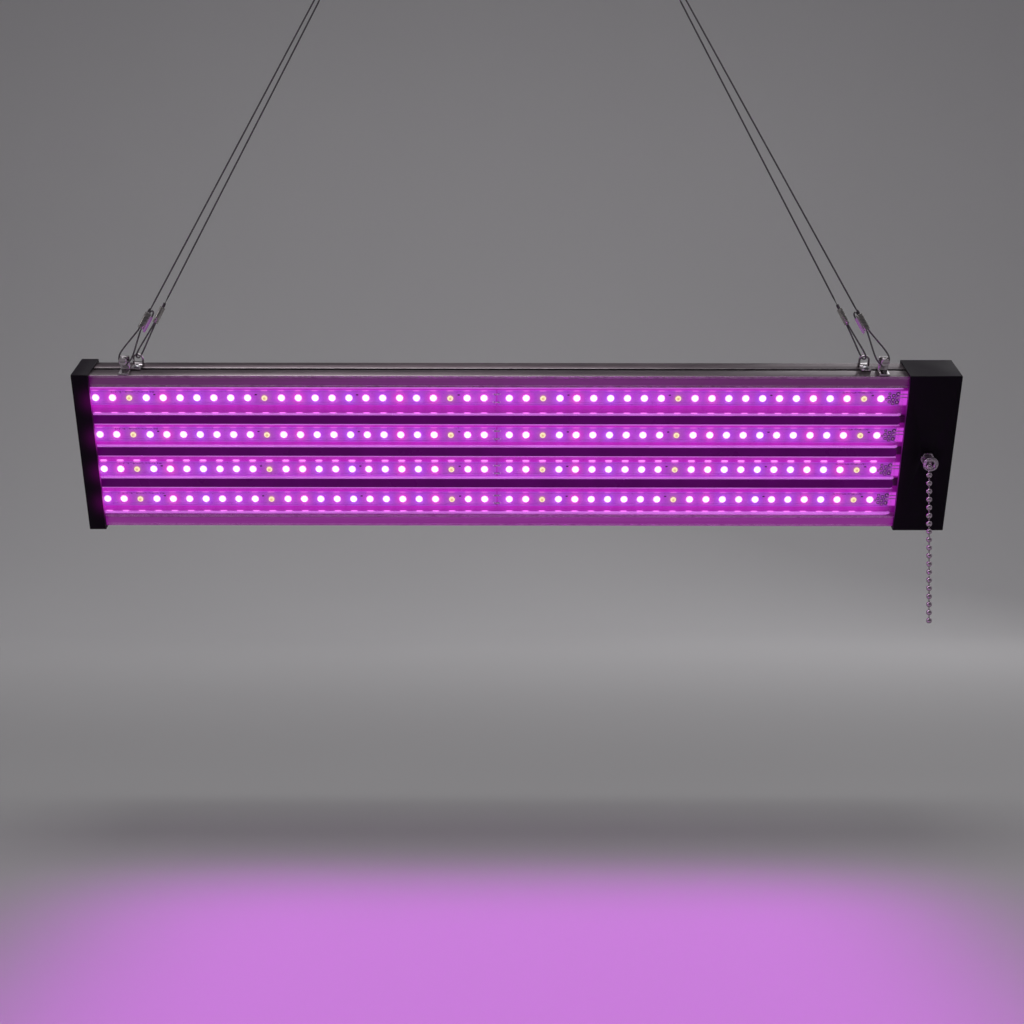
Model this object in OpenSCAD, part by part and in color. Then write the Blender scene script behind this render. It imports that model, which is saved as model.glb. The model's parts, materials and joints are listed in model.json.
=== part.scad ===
// LED grow light: a slotted aluminium body with four rows of LED boards between two black end caps, a
// pull-chain switch in the right cap, and four wire-rope legs that hang it from two ceiling hooks.
// The origin is on the ceiling, midway between the hooks. +X runs along the lamp, -Y is the side that
// its LED face looks to, and +Z is up. The lamp's own modules are drawn in the lamp frame: X along the
// body from its middle, Y backward from the caps' front plane, Z up from the caps' upper edge.

/* [Body] */
// Length over both end caps
lamp_l = 610; // [560:10:660]
// Height of the end caps, across the LED face
cap_h = 117.7; // [117.7:0.1:119]
// Depth of the end caps, front to back
cap_d = 33.1; // [33.1:0.1:35]
// Length of the left end cap
left_cap_l = 11.5; // [11.5:0.1:12]
// Length of the right end cap, which holds the switch
right_cap_l = 35.6; // [34:0.1:40]
// Height of the aluminium body
body_h = 114.3; // [114.3:0.1:114.5]

/* [LED rows] */
// Distance between LEDs along a row
led_pitch = 11.7; // [11:0.1:11.8]
// Number of LEDs on a left board
left_leds = 24; // [20:1:24]
// Number of LEDs on a right board
right_leds = 23; // [20:1:23]
// Width of a board
board_w = 11; // [10:0.5:11]
// Width of the black strips between the rows
strip_w = 5.8; // [5:0.1:6]

/* [Pull switch] */
// Diameter of a chain bead
bead_d = 4.1; // [3.8:0.1:4.2]
// Distance between chain beads, and the switch's travel
bead_pitch = 5.6; // [5.4:0.1:5.8]
// Outer diameter of the spout's flared mouth
mouth_d = 10.7; // [10:0.1:11]
// How far the mouth stands out from the cap
spout_out = 12; // [11:0.5:13]

/* [Suspension] */
// Tilt of the lamp about its length, so that its LED face looks down
tilt = 25.7; // [25.7:0.1:26]
// Diameter of the wire rope
rope_d = 1.2; // [1:0.1:1.2]
// Distance of each ceiling hook from the origin
hook_x = 105.4; // [105:0.2:107]
// Diameter of the hooks' wire
hook_d = 3; // [2.5:0.1:3]
// Length of the hooks' screw shanks in the ceiling
shank_l = 20; // [15:1:30]

/* [Hidden] */

$fn = 48;
eps = 0.01;

// Place of the lamp frame: its centre line's X, and the caps' upper front edge
lamp_at = [12.4, -40.4, -344];

// Body section, as Y and Z in the lamp frame
half_l = lamp_l / 2;
body_top = -1.7;
body_bottom = body_top - body_h;
mid_z = (body_top + body_bottom) / 2;
lip_y = 3.8;
lip_t = 1.2;
lip_w = 8.4;
tray_y = 8.6;
tray_t = 1.8;
wall_t = 6.5;
back_y = 30;
back_t = 2.2;
web_t = 1.4;
slot_y = 17;
slot_w = 3.6;
slot_in = 1.6;
pocket_w = 7.2;
pocket_d = 3.1;
cap_wall = 1.6;
cap_front_t = 3;
cap_back_t = 2.6;
cap_end_t = 2.5;
body_end = half_l - cap_end_t - 0.4;
face_left = -half_l + left_cap_l;
face_right = half_l - right_cap_l;

// LED rows: strips and LED lines as distances below the middle of the LED face
strip_at = [-24.2, 0, 24.2];
led_at = [-39.5, -11.9, 14.5, 37.8];
cover_edge = [[-48.4, -27.3], [-21.1, -3.1], [3.1, 21.1], [27.3, 48.4]];
board_t = 1;
board_y = tray_y - 0.05 - board_t;
chip_w = 2.8;
chip_t = 0.8;
first_led = -half_l + 13.3;
board_gap = 1.5 * led_pitch;
board_end = 3.7;
warm_leds = [3, 11, 22];
cover_t = 0.8;
cover_y = 4.2;
end_gap = 2.8;
left_in = 8;

// Switch, in the lamp frame
spout_x = half_l - right_cap_l / 2 + 0.2;
spout_z = -61;
bore_r = bead_d / 2 + 0.35;
corner_y = -spout_out - 1.4;

// Chain, in the row frame: its beads hang below the corner bead
corner = [298.2, -25.6, -405.5];

// Suspension: clips in the lamp frame as [X, Y], ropes in the row frame
clip_front = [[-270.2, 13.6], [252.8, 13.6]];
clip_rear = [[-263.4, 24], [241.6, 23]];
post_h = 8.9;
neck_r = 1.6;
head_r = 2.9;
arch_mid = 4.9;
arch_in = 2.6;
arch_out = 3.9;
arch_bar = arch_mid + (arch_in + arch_out) / 2;
hook_bend = 8;
hook_low = -28;
rope_r = rope_d / 2;
rope_side = 1.4;
ferrule_l = 12;
lower_ferrule = 24.6;
upper_ferrule = [16, 31];
// Each rope loop as [distance from its eye along the rope, distance to the side]
wide_loop = [[23.4, -3.2], [28, -3.4], [34, -3.4], [37.4, -3.2], [38.8, -2.6], [39.2, -1.9],
  [38.7, -1.2], [37.4, -0.75], [24.6, -0.75], [21, -1.2], [14, -2.6], [8, -3.8], [3.5, -4.3],
  [0.6, -3.9], [-1.6, -2.7], [-2.7, 0], [-1.6, 2.7], [0.6, 3.9], [3.5, 4.3], [8, 3.8], [14, 2.6],
  [21, 1.2], [24.6, 0.75], [36.6, 0.75], [40, 0.5], [46, 0]];
small_loop = [[40, -0.75], [36.6, -0.75], [24.6, -0.75], [21, -0.9], [13, -1.6], [5, -2.4],
  [1.2, -2.5], [-1.2, -2.2], [-2.2, -1.2], [-2.5, 0], [-2.2, 1.2], [-1.2, 2.2], [1.2, 2.5],
  [5, 2.4], [13, 1.6], [21, 0.9], [24.6, 0.75], [36.6, 0.75], [40, 0.5], [46, 0]];
hook_bight = [[8, 2.1], [3, 2.9], [1.4, 2.8], [-1.2, 2.7], [-2.9, 1.5], [-3.4, 0], [-2.9, -1.5],
  [-1.2, -2.7], [1.4, -2.8], [3, -2.9], [8, -2.1]];
function hook_loop(s) = concat([[s + 24, 0], [s + 16, 0.5], [s + 12, 0.75], [s, 0.75], [s - 3, 1]],
  hook_bight, [[s - 3, -1], [s, -0.75], [s + 12, -0.75], [s + 15, -0.75]]);

module in_lamp() translate(lamp_at) rotate([tilt, 0, 0]) children();

// A point of the lamp frame, in the row frame
function lamp_point(p) = lamp_at + [p[0], p[1] * cos(tilt) - p[2] * sin(tilt),
  p[1] * sin(tilt) + p[2] * cos(tilt)];

// Extrudes a shape drawn in Y and Z along the lamp, from x0 to x1
module along(x0, x1) translate([x0, 0, 0]) rotate([90, 0, 90]) linear_extrude(x1 - x0) children();

// A rectangle with rounded corners
module rounded(size, r) {
  translate([r, 0]) square([size[0] - 2 * r, size[1]]);
  translate([0, r]) square([size[0], size[1] - 2 * r]);
  for (x = [r, size[0] - r], y = [r, size[1] - r]) translate([x, y]) circle(r);
}

// Y runs backward on screen X, Z up on screen Y
module body_section() {
  difference() {
    translate([lip_y, body_bottom]) square([back_y - lip_y, body_h]);
    // The LED channel between the lips
    translate([lip_y - 1, mid_z - body_h / 2 + lip_w]) square([tray_y - lip_y + 1, body_h - 2 * lip_w]);
    translate([lip_y + lip_t, body_bottom + wall_t])
      square([tray_y - lip_y - lip_t, body_h - 2 * wall_t]);
    // Four chambers behind the tray
    for (i = [0:3]) {
      chamber = (body_h - 2 * wall_t - 3 * web_t) / 4;
      translate([tray_y + tray_t, body_bottom + wall_t + i * (chamber + web_t)])
        square([back_y - back_t - tray_y - tray_t, chamber]);
    }
    // A T-slot in each narrow side
    for (side = [0, 1]) translate([0, mid_z]) mirror([0, side]) {
      translate([slot_y - slot_w / 2, body_h / 2 - slot_in - eps]) square([slot_w, slot_in + 1]);
      translate([slot_y - pocket_w / 2, body_h / 2 - slot_in - pocket_d]) square([pocket_w, pocket_d]);
    }
    // Fine grooves in the lips, and cooling grooves along the back
    for (z = [body_top - 1.1, body_top - 7.3, body_bottom + 1.1, body_bottom + 7.3])
      translate([lip_y - eps, z - 0.2]) square([0.35, 0.4]);
    for (i = [-8:8]) translate([back_y - 0.9, mid_z + 6 * i - 1.2]) square([1, 2.4]);
  }
}

// Screw ports run the length of the body in the chambers' corners
port_r = 1.25;
port_at = [[14.2, body_top - wall_t - 3], [24, body_top - wall_t - 3],
  [14.2, body_bottom + wall_t + 3], [24, body_bottom + wall_t + 3]];

// The right end is cut out between the screw ports, where the switch and the mains inlet stand
cutout_x = 275.4;
cutout_edge = 13.3;

module body_profile() color("#b9b4b6") in_lamp() difference() {
  along(-body_end, body_end) difference() {
    union() {
      body_section();
      for (p = port_at) translate([p[0] - 2.4, p[1] - 3.1]) square([4.8, 6.2]);
    }
    for (p = port_at) translate(p) circle(port_r);
  }
  translate([cutout_x, 0, body_bottom + cutout_edge])
    cube([half_l - cutout_x, back_y + 1, body_h - 2 * cutout_edge]);
}

// A cup that slides over the body's end. Its mouth is at x = 0, and it runs to x = length
module cap_cup(length) difference() {
  along(0, length) rounded_section();
  along(-1, length - cap_end_t) translate([cap_front_t, body_bottom - 0.05])
    square([cap_d - cap_back_t - cap_front_t, body_h + 0.1]);
}

module rounded_section() translate([0, -cap_h]) rounded([cap_d, cap_h], 1);

module cap_screw_holes(length) for (p = port_at) translate([length - cap_end_t - 1, p[0], p[1]])
  rotate([0, 90, 0]) {
    cylinder(h = cap_end_t + 2, r = 1.6);
    translate([0, 0, cap_end_t - 0.5]) cylinder(h = 2.5, r = 3);
  }

module end_cap_left() color("#17131a") in_lamp() translate([face_left, 0, 0]) mirror([1, 0, 0])
  difference() {
    cap_cup(left_cap_l);
    cap_screw_holes(left_cap_l);
  }

inlet_z = -92;
inlet_y = 17;
inlet_w = 10.4;
inlet_h = 18;

module end_cap_right() color("#17131a") in_lamp() translate([face_right, 0, 0]) difference() {
  cap_cup(right_cap_l);
  cap_screw_holes(right_cap_l);
  translate([spout_x - face_right, -1, spout_z]) rotate([-90, 0, 0]) cylinder(h = 5, r = 3.6);
  translate([right_cap_l - 4, inlet_y - inlet_w / 2 - 0.1, inlet_z - inlet_h / 2 - 0.1])
    cube([5, inlet_w + 0.2, inlet_h + 0.2]);
}

// Countersunk cap screws with a cross slot, pointing inward from the cap's end face
module cap_screw() rotate([0, -90, 0]) difference() {
  union() {
    translate([0, 0, 0.1]) cylinder(h = 1.3, r = 2.8);
    translate([0, 0, 1.4 - eps]) cylinder(h = 8, r = 1.2);
  }
  for (a = [0, 90]) rotate(a) translate([-1.7, -0.3, -1]) cube([3.4, 0.6, 1.8]);
}

module cap_screws() for (p = port_at) translate([half_l, p[0], p[1]]) cap_screw();

module cap_screws_left() color("#8c8a8e") in_lamp() mirror([1, 0, 0]) cap_screws();
module cap_screws_right() color("#8c8a8e") in_lamp() cap_screws();

// A flat bar on the LED face with rounded right-hand corners: z0 and z1 are below the face's middle
module face_bar(x1, y0, y1, z0, z1, r) translate([0, y1, mid_z]) rotate([90, 0, 0])
  linear_extrude(y1 - y0) {
    x0 = -half_l + left_in;
    translate([x0, -z1]) square([x1 - x0 - r, z1 - z0]);
    translate([x0, -z1 + r]) square([x1 - x0, z1 - z0 - 2 * r]);
    for (z = [z0 + r, z1 - r]) translate([x1 - r, -z]) circle(r);
  }

// Clear cover over one row, held by the lips and the strips
module lens_cover(i) color([0.9, 0.85, 0.95, 0.3]) in_lamp()
  face_bar(face_right - end_gap + 1, cover_y + 1, cover_y + 1 + cover_t, cover_edge[i][0],
    cover_edge[i][1], 2.5);

// Black strip between two rows, on the tray floor
module retainer_strip(i) color("#241028") in_lamp()
  face_bar(face_right - end_gap, cover_y, tray_y - 0.05, strip_at[i] - strip_w / 2,
    strip_at[i] + strip_w / 2, 2);

// X of LED n (from 1) on a board, and the boards' ends
function led_x(right, n) = first_led + (n - 1) * led_pitch
  + (right ? (left_leds - 1) * led_pitch + board_gap : 0);
split_x = (led_x(false, left_leds) + led_x(true, 1)) / 2;

module led_board(row, right) color("#c9b6cf") in_lamp() {
  x0 = right ? split_x + 0.4 : -half_l + left_in;
  x1 = right ? face_right - board_end : split_x - 0.4;
  translate([x0, board_y, mid_z - led_at[row] - board_w / 2]) difference() {
    cube([x1 - x0, board_t, board_w]);
    // A notch at each end for the mounting screws
    for (x = [0, x1 - x0]) translate([x, -1, 1.6]) rotate([-90, 0, 0])
      cylinder(h = board_t + 2, r = 0.8, $fn = 24);
  }
}

module chip(x, row) translate([x - chip_w / 2, board_y - 0.01 - chip_t, mid_z - led_at[row] - chip_w / 2])
  cube([chip_w, chip_t, chip_w]);

function is_warm(n) = len([for (w = warm_leds) if (w == n) w]) > 0;

module row_chips(row, warm) {
  for (n = [1:left_leds]) if (is_warm(n) == warm) chip(led_x(false, n), row);
  for (n = [1:right_leds]) if (is_warm(n) == warm) chip(led_x(true, n), row);
}

module led_chips(row) color("#fff4ff") in_lamp() row_chips(row, false);
module warm_chips() color("#f2dd9a") in_lamp() for (row = [0:3]) row_chips(row, true);

// Two solder links join the boards of each row across the split
module board_links() color("#8d8890") in_lamp() for (row = [0:3], side = [-1, 1])
  translate([split_x - 2, board_y - 0.61, mid_z - led_at[row] + side * 3 - 0.6]) cube([4, 0.6, 1.2]);

// Driver inside the second chamber
chamber_h = (body_h - 2 * wall_t - 3 * web_t) / 4;
driver_z = body_bottom + wall_t + chamber_h + web_t + chamber_h / 2;
driver_x = 40;
driver_l = 190;

module driver_board() color("#2d6a3c") in_lamp()
  translate([driver_x, tray_y + tray_t + 2, driver_z - 10.5]) cube([driver_l, 1.6, 21]);

module driver_parts() color("#3b3b44") in_lamp() translate([driver_x, tray_y + tray_t + 3.61, driver_z]) {
  for (x = [25, 45, 150]) translate([x, 0, 0]) rotate([-90, 0, 0]) cylinder(h = 11, r = 6);
  translate([70, 0, -9]) cube([26, 10, 18]);
  translate([108, 0, -8]) cube([16, 9, 16]);
  for (x = [6, 170]) translate([x, 0, -6]) cube([10, 7, 12]);
}

// Pull switch behind the right cap's front wall
case_d = 9;
case_w = 22;
module switch_case() color("#2a2730") in_lamp() translate([spout_x, 0, spout_z]) difference() {
  translate([-case_w / 2, cap_front_t + 0.05, -12]) cube([case_w, case_d + 12, 24]);
  translate([-case_w / 2 + 1.6, cap_front_t + 1.6, -10.4]) cube([case_w - 3.2, case_d + 8.8, 20.8]);
  translate([0, 0, 0]) rotate([-90, 0, 0]) cylinder(h = 6, r = 3.6);
}

module switch_nut() color("#d8c8d8") in_lamp() translate([spout_x, 0, spout_z]) rotate([90, 0, 0])
  difference() {
    cylinder(h = 2.2, r = 5.1, $fn = 6);
    translate([0, 0, -1]) cylinder(h = 4, r = 3.3);
  }

// Threaded tube with a flared mouth, turned about the chain's path
module switch_spout() color("#d8c8d8") in_lamp() translate([spout_x, 0, spout_z]) rotate([90, 0, 0])
  rotate_extrude() {
    mouth_r = mouth_d / 2;
    difference() {
      union() {
        translate([bore_r, -6]) square([3.25 - bore_r, spout_out + 4.5]);
        translate([bore_r, spout_out - 4.5]) square([3.9 - bore_r, 3]);
        translate([3.2, spout_out - 2.6]) square([mouth_r - 3.2 - 1.2, 2.6]);
        translate([mouth_r - 1.3, spout_out - 1.3]) circle(1.3);
        translate([bore_r, spout_out - 2.6]) square([1.4, 1.6]);
      }
      translate([bore_r - 1, spout_out - 1]) square([2.2, 2]);
    }
  }

lever_pivot = [0, 12, 9];
lever_arm = 9;
module switch_lever() color("#d9b45a") in_lamp()
  translate([spout_x + lever_pivot[0], lever_pivot[1], spout_z + lever_pivot[2]]) {
    rotate([0, 90, 0]) translate([0, 0, -9]) cylinder(h = 18, r = 1.2);
    translate([-3, -0.8, -lever_arm + 2.6]) cube([6, 1.6, lever_arm - 2.6]);
  }

module bead() sphere(r = bead_d / 2, $fn = 32);
link_r = 0.5;

// The lead runs from the mouth through the spout to a stop below the lever
lead_beads = 4;
module pull_lead() color("#cfc0cf") in_lamp()
  translate([spout_x, corner_y + bead_pitch, spout_z]) {
    for (i = [0:lead_beads - 1]) translate([0, i * bead_pitch, 0]) bead();
    rotate([-90, 0, 0]) cylinder(h = (lead_beads - 1) * bead_pitch, r = link_r);
  }

// A length of hanging chain: beads first to last, with the link that hangs it from the bead above
module chain(first, last, hung) color("#cfc0cf") translate(corner) {
  for (i = [first:last]) translate([0, 0, -i * bead_pitch]) bead();
  link_top = hung ? (first - 1) * bead_pitch + bead_d / 2 + 0.35 : first * bead_pitch;
  translate([0, 0, -last * bead_pitch]) cylinder(h = last * bead_pitch - link_top, r = link_r);
}

module chain_top() chain(0, 1, false);
module chain_upper() chain(2, 7, true);
module chain_middle() chain(8, 13, true);
module chain_lower() chain(14, 19, true);

// Two-pin mains inlet in the right cap's end face
module inlet_shape(grow) {
  translate([-3.1 - grow, -4.3]) square([6.2 + 2 * grow, 8.6]);
  for (z = [-4.3, 4.3]) translate([0, z]) circle(3.1 + grow);
}

module mains_inlet() color("#1b191f") in_lamp() translate([half_l, inlet_y, inlet_z]) {
  difference() {
    union() {
      along(-14, -2.6) translate([-inlet_w / 2, -inlet_h / 2]) square([inlet_w, inlet_h]);
      along(-2.7, 0.6) translate([-inlet_w / 2, -inlet_h / 2]) square([inlet_w, inlet_h]);
    }
    along(-9, 1) inlet_shape(0.6);
  }
}

module inlet_pins() color("#d6d3cf") in_lamp() translate([half_l, inlet_y, inlet_z])
  for (z = [-4.3, 4.3]) translate([-8.99, 0, z]) rotate([0, 90, 0]) cylinder(h = 7.6, r = 1.2);

// Front clip: a foot on the body's narrow side with an upright and a headed post for the rope's loop
foot_t = 1.4;
foot_w = 6.7;
module clip_foot(front, back, hole_y) translate([-foot_w / 2, front, 0.02]) difference() {
  cube([foot_w, back - front, foot_t]);
  translate([foot_w / 2, hole_y - front, -1]) cylinder(h = foot_t + 2, r = 1.6);
}

module clip_post(at) color("#d9d4dc") in_lamp() translate([at[0], at[1], body_top]) {
  clip_foot(-9, 6.3, slot_y - at[1]);
  translate([-foot_w / 2, -0.8, 0.1]) cube([foot_w, 1.6, post_h + 1.7]);
  translate([0, -0.5, post_h]) rotate([90, 0, 0]) {
    cylinder(h = 5.2, r = neck_r);
    translate([0, 0, 4.7]) difference() {
      cylinder(h = 1.5, r = head_r);
      translate([-2, -0.35, 0.9]) cube([4, 0.7, 1]);
    }
  }
}

// Rear clip: a foot with a standing arch that the rope's loop passes through
module clip_arch(at) color("#d9d4dc") in_lamp() translate([at[0], at[1], body_top]) {
  clip_foot(-10, 4.4, slot_y - at[1]);
  translate([0, 0.8, 0]) rotate([90, 0, 0]) linear_extrude(1.6) difference() {
    union() {
      translate([0, arch_mid]) circle(arch_out);
      translate([-arch_out, 0.1]) square([2 * arch_out, arch_mid - 0.1]);
    }
    translate([0, arch_mid]) circle(arch_in);
    translate([-arch_in, foot_t + 0.5]) square([2 * arch_in, arch_mid - foot_t - 0.5]);
  }
}

module clip_front_left() clip_post(clip_front[0]);
module clip_front_right() clip_post(clip_front[1]);
module clip_rear_left() clip_arch(clip_rear[0]);
module clip_rear_right() clip_arch(clip_rear[1]);

clip_all = concat(clip_front, clip_rear);
// Screws drop through the feet into nuts that slide in the slot
module clip_screws() color("#a7a2aa") in_lamp() for (c = clip_all)
  translate([c[0], slot_y, body_top + foot_t + 0.04]) difference() {
    union() {
      intersection() {
        cylinder(h = 1.6, r = 2.5);
        translate([0, 0, -1.6]) sphere(r = 3.3);
      }
      translate([0, 0, -4.6]) cylinder(h = 4.7, r = 1.2);
    }
    translate([-1.6, -0.3, 1]) cube([3.2, 0.6, 1]);
  }

module slot_nuts() color("#8f8b92") in_lamp() for (c = clip_all)
  translate([c[0], slot_y, body_top - slot_in - 2.6]) difference() {
    translate([-3, -3.3, 0]) cube([6, 6.6, 2.4]);
    translate([0, 0, -1]) cylinder(h = 5, r = 1.25);
  }

// Screw hook: shank in the ceiling, flange on it, and a ring below that is open at its outer side
module ceiling_hook(x, side) color("#bfbcc0") translate([x, 0, 0]) {
  translate([0, 0, hook_low + 2 * hook_bend - 0.5]) cylinder(h = shank_l - hook_low - 2 * hook_bend + 0.5,
    r = hook_d / 2);
  translate([0, 0, -1.5]) cylinder(h = 1.5, r = 6);
  translate([0, 0, hook_low + hook_bend]) mirror([side, 0, 0]) rotate([90, 0, 0]) rotate([0, 0, 90])
    rotate_extrude(angle = 290) translate([hook_bend, 0]) circle(hook_d / 2);
}

// The lower eye of each rope in the row frame, and its upper eye on a hook's wire
function unit(v) = v / norm(v);
function eye(at, h) = lamp_point([at[0], at[1], body_top + h]);
rope_ends = [
  [eye(clip_front[0] - [0, 2.8], post_h), [-hook_x - rope_side, 0, hook_low]],
  [eye(clip_front[1] - [0, 2.8], post_h), [hook_x + rope_side, 0, hook_low]],
  [eye(clip_rear[0] + [0.8, 0], arch_bar), [-hook_x + rope_side, 0, hook_low]],
  [eye(clip_rear[1] - [0.8, 0], arch_bar), [hook_x - rope_side, 0, hook_low]]];

// Direction up a rope, and the side direction of a loop whose plane holds the line v
function up_rope(e) = unit(e[1] - e[0]);
function side_of(e, v) = unit(v - (v * up_rope(e)) * up_rope(e));

// Lower loops: the front ones lie along the lamp with their tails inward, the rear ones stand askew
low_lie = [[-1, 0, 0], [1, 0, 0], [0.55, 0.82, 0.3], [-0.55, 0.82, 0.3]];
function loop_points(loop, start, dir, side) = [for (p = loop) start + p[0] * dir + p[1] * side];
function rope_route(i) = let (e = rope_ends[i], d = up_rope(e),
    low_side = side_of(e, low_lie[i]))
  concat(loop_points(i < 2 ? wide_loop : small_loop, e[0], d, low_side),
    loop_points(hook_loop(upper_ferrule[i < 2 ? 0 : 1]), e[1], -d, side_of(e, [0, 1, 0])));

// Frames carried along a route without twist, and the tube swept on them
function tangent(r, i) = unit(r[min(i + 1, len(r) - 1)] - r[max(i - 1, 0)]);
function carried(r, i, n) = i == 0 ? n : let (before = carried(r, i - 1, n), t = tangent(r, i))
  unit(before - (before * t) * t);
module tube(r, radius, sides) {
  first = unit(cross(tangent(r, 0), [0.3, 0.9, 0.2]));
  rings = [for (i = [0:len(r) - 1]) let (t = tangent(r, i), n = carried(r, i, first), b = cross(t, n))
    for (k = [0:sides - 1]) r[i] + radius * (cos(360 * k / sides) * n + sin(360 * k / sides) * b)];
  last = (len(r) - 1) * sides;
  polyhedron(rings, concat(
    [[for (k = [0:sides - 1]) k]],
    [for (i = [0:len(r) - 2], k = [0:sides - 1]) let (a = i * sides, n = (k + 1) % sides)
      [a + k, a + sides + k, a + sides + n, a + n]],
    [[for (k = [sides - 1:-1:0]) last + k]]), convexity = 8);
}

// A smooth route through the points: two more between each pair that lies in a loop
function bend(p0, p1, p2, p3, t) = 0.5 * (2 * p1 + (p2 - p0) * t + (2 * p0 - 5 * p1 + 4 * p2 - p3) * t * t
  + (3 * p1 - p0 - 3 * p2 + p3) * t * t * t);
function smooth(r) = [for (i = [0:len(r) - 2]) let (long = norm(r[i + 1] - r[i]))
  for (t = long < 5 && i > 0 && i < len(r) - 2 ? [0, 0.5] : [0])
    t == 0 ? r[i] : bend(r[i - 1], r[i], r[i + 1], r[i + 2], t), r[len(r) - 1]];

module rope(i) color("#4a444c") tube(smooth(rope_route(i)), rope_r, 8);

// Oval double-barrel ferrule around both legs of a loop, its near end at distance s from the eye
module ferrule(start, dir, side, s) {
  across = cross(dir, side);
  multmatrix([[side[0], across[0], dir[0], start[0] + s * dir[0]],
      [side[1], across[1], dir[1], start[1] + s * dir[1]],
      [side[2], across[2], dir[2], start[2] + s * dir[2]]])
    linear_extrude(ferrule_l) difference() {
      union() {
        for (x = [-0.85, 0.85]) translate([x, 0]) circle(1.4);
        square([1.7, 2.8], center = true);
      }
      for (x = [-0.75, 0.75]) translate([x, 0]) circle(0.72);
    }
}

module ferrules(i) color("#77717a") {
  e = rope_ends[i];
  d = up_rope(e);
  ferrule(e[0], d, side_of(e, low_lie[i]), lower_ferrule);
  ferrule(e[1], -d, side_of(e, [0, 1, 0]), upper_ferrule[i < 2 ? 0 : 1]);
}

ceiling_hook(-hook_x, 1);  // ceiling_hook_left
ceiling_hook(hook_x, 0);  // ceiling_hook_right
body_profile();
end_cap_left();
end_cap_right();
cap_screws_left();
cap_screws_right();
lens_cover(0);  // lens_cover_1
lens_cover(1);  // lens_cover_2
lens_cover(2);  // lens_cover_3
lens_cover(3);  // lens_cover_4
retainer_strip(0);  // retainer_strip_1
retainer_strip(1);  // retainer_strip_2
retainer_strip(2);  // retainer_strip_3
led_board(0, false);  // led_board_1_left
led_board(0, true);  // led_board_1_right
led_board(1, false);  // led_board_2_left
led_board(1, true);  // led_board_2_right
led_board(2, false);  // led_board_3_left
led_board(2, true);  // led_board_3_right
led_board(3, false);  // led_board_4_left
led_board(3, true);  // led_board_4_right
led_chips(0);  // led_chips_1
led_chips(1);  // led_chips_2
led_chips(2);  // led_chips_3
led_chips(3);  // led_chips_4
warm_chips();
board_links();
driver_board();
driver_parts();
switch_case();
switch_nut();
switch_spout();
switch_lever();
pull_lead();
chain_top();
chain_upper();
chain_middle();
chain_lower();
mains_inlet();
inlet_pins();
clip_front_left();
clip_front_right();
clip_rear_left();
clip_rear_right();
clip_screws();
slot_nuts();
rope(0);  // rope_front_left
rope(1);  // rope_front_right
rope(2);  // rope_rear_left
rope(3);  // rope_rear_right
ferrules(0);  // ferrules_front_left
ferrules(1);  // ferrules_front_right
ferrules(2);  // ferrules_rear_left
ferrules(3);  // ferrules_rear_right
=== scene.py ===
"""Looks of a hanging LED grow light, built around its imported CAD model.

The CAD nodes keep the body, caps, clips and hooks. This script gives every node and piece its finish, and
models what the CAD leaves plain: the clear covers, the lit phosphor windows, the reflective floor, the
stranded ropes, the bead chain and the wiring at the boards' ends. All lengths are in metres.
"""
from __future__ import annotations

import json
import logging
import math
from dataclasses import dataclass
from enum import Enum

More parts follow.
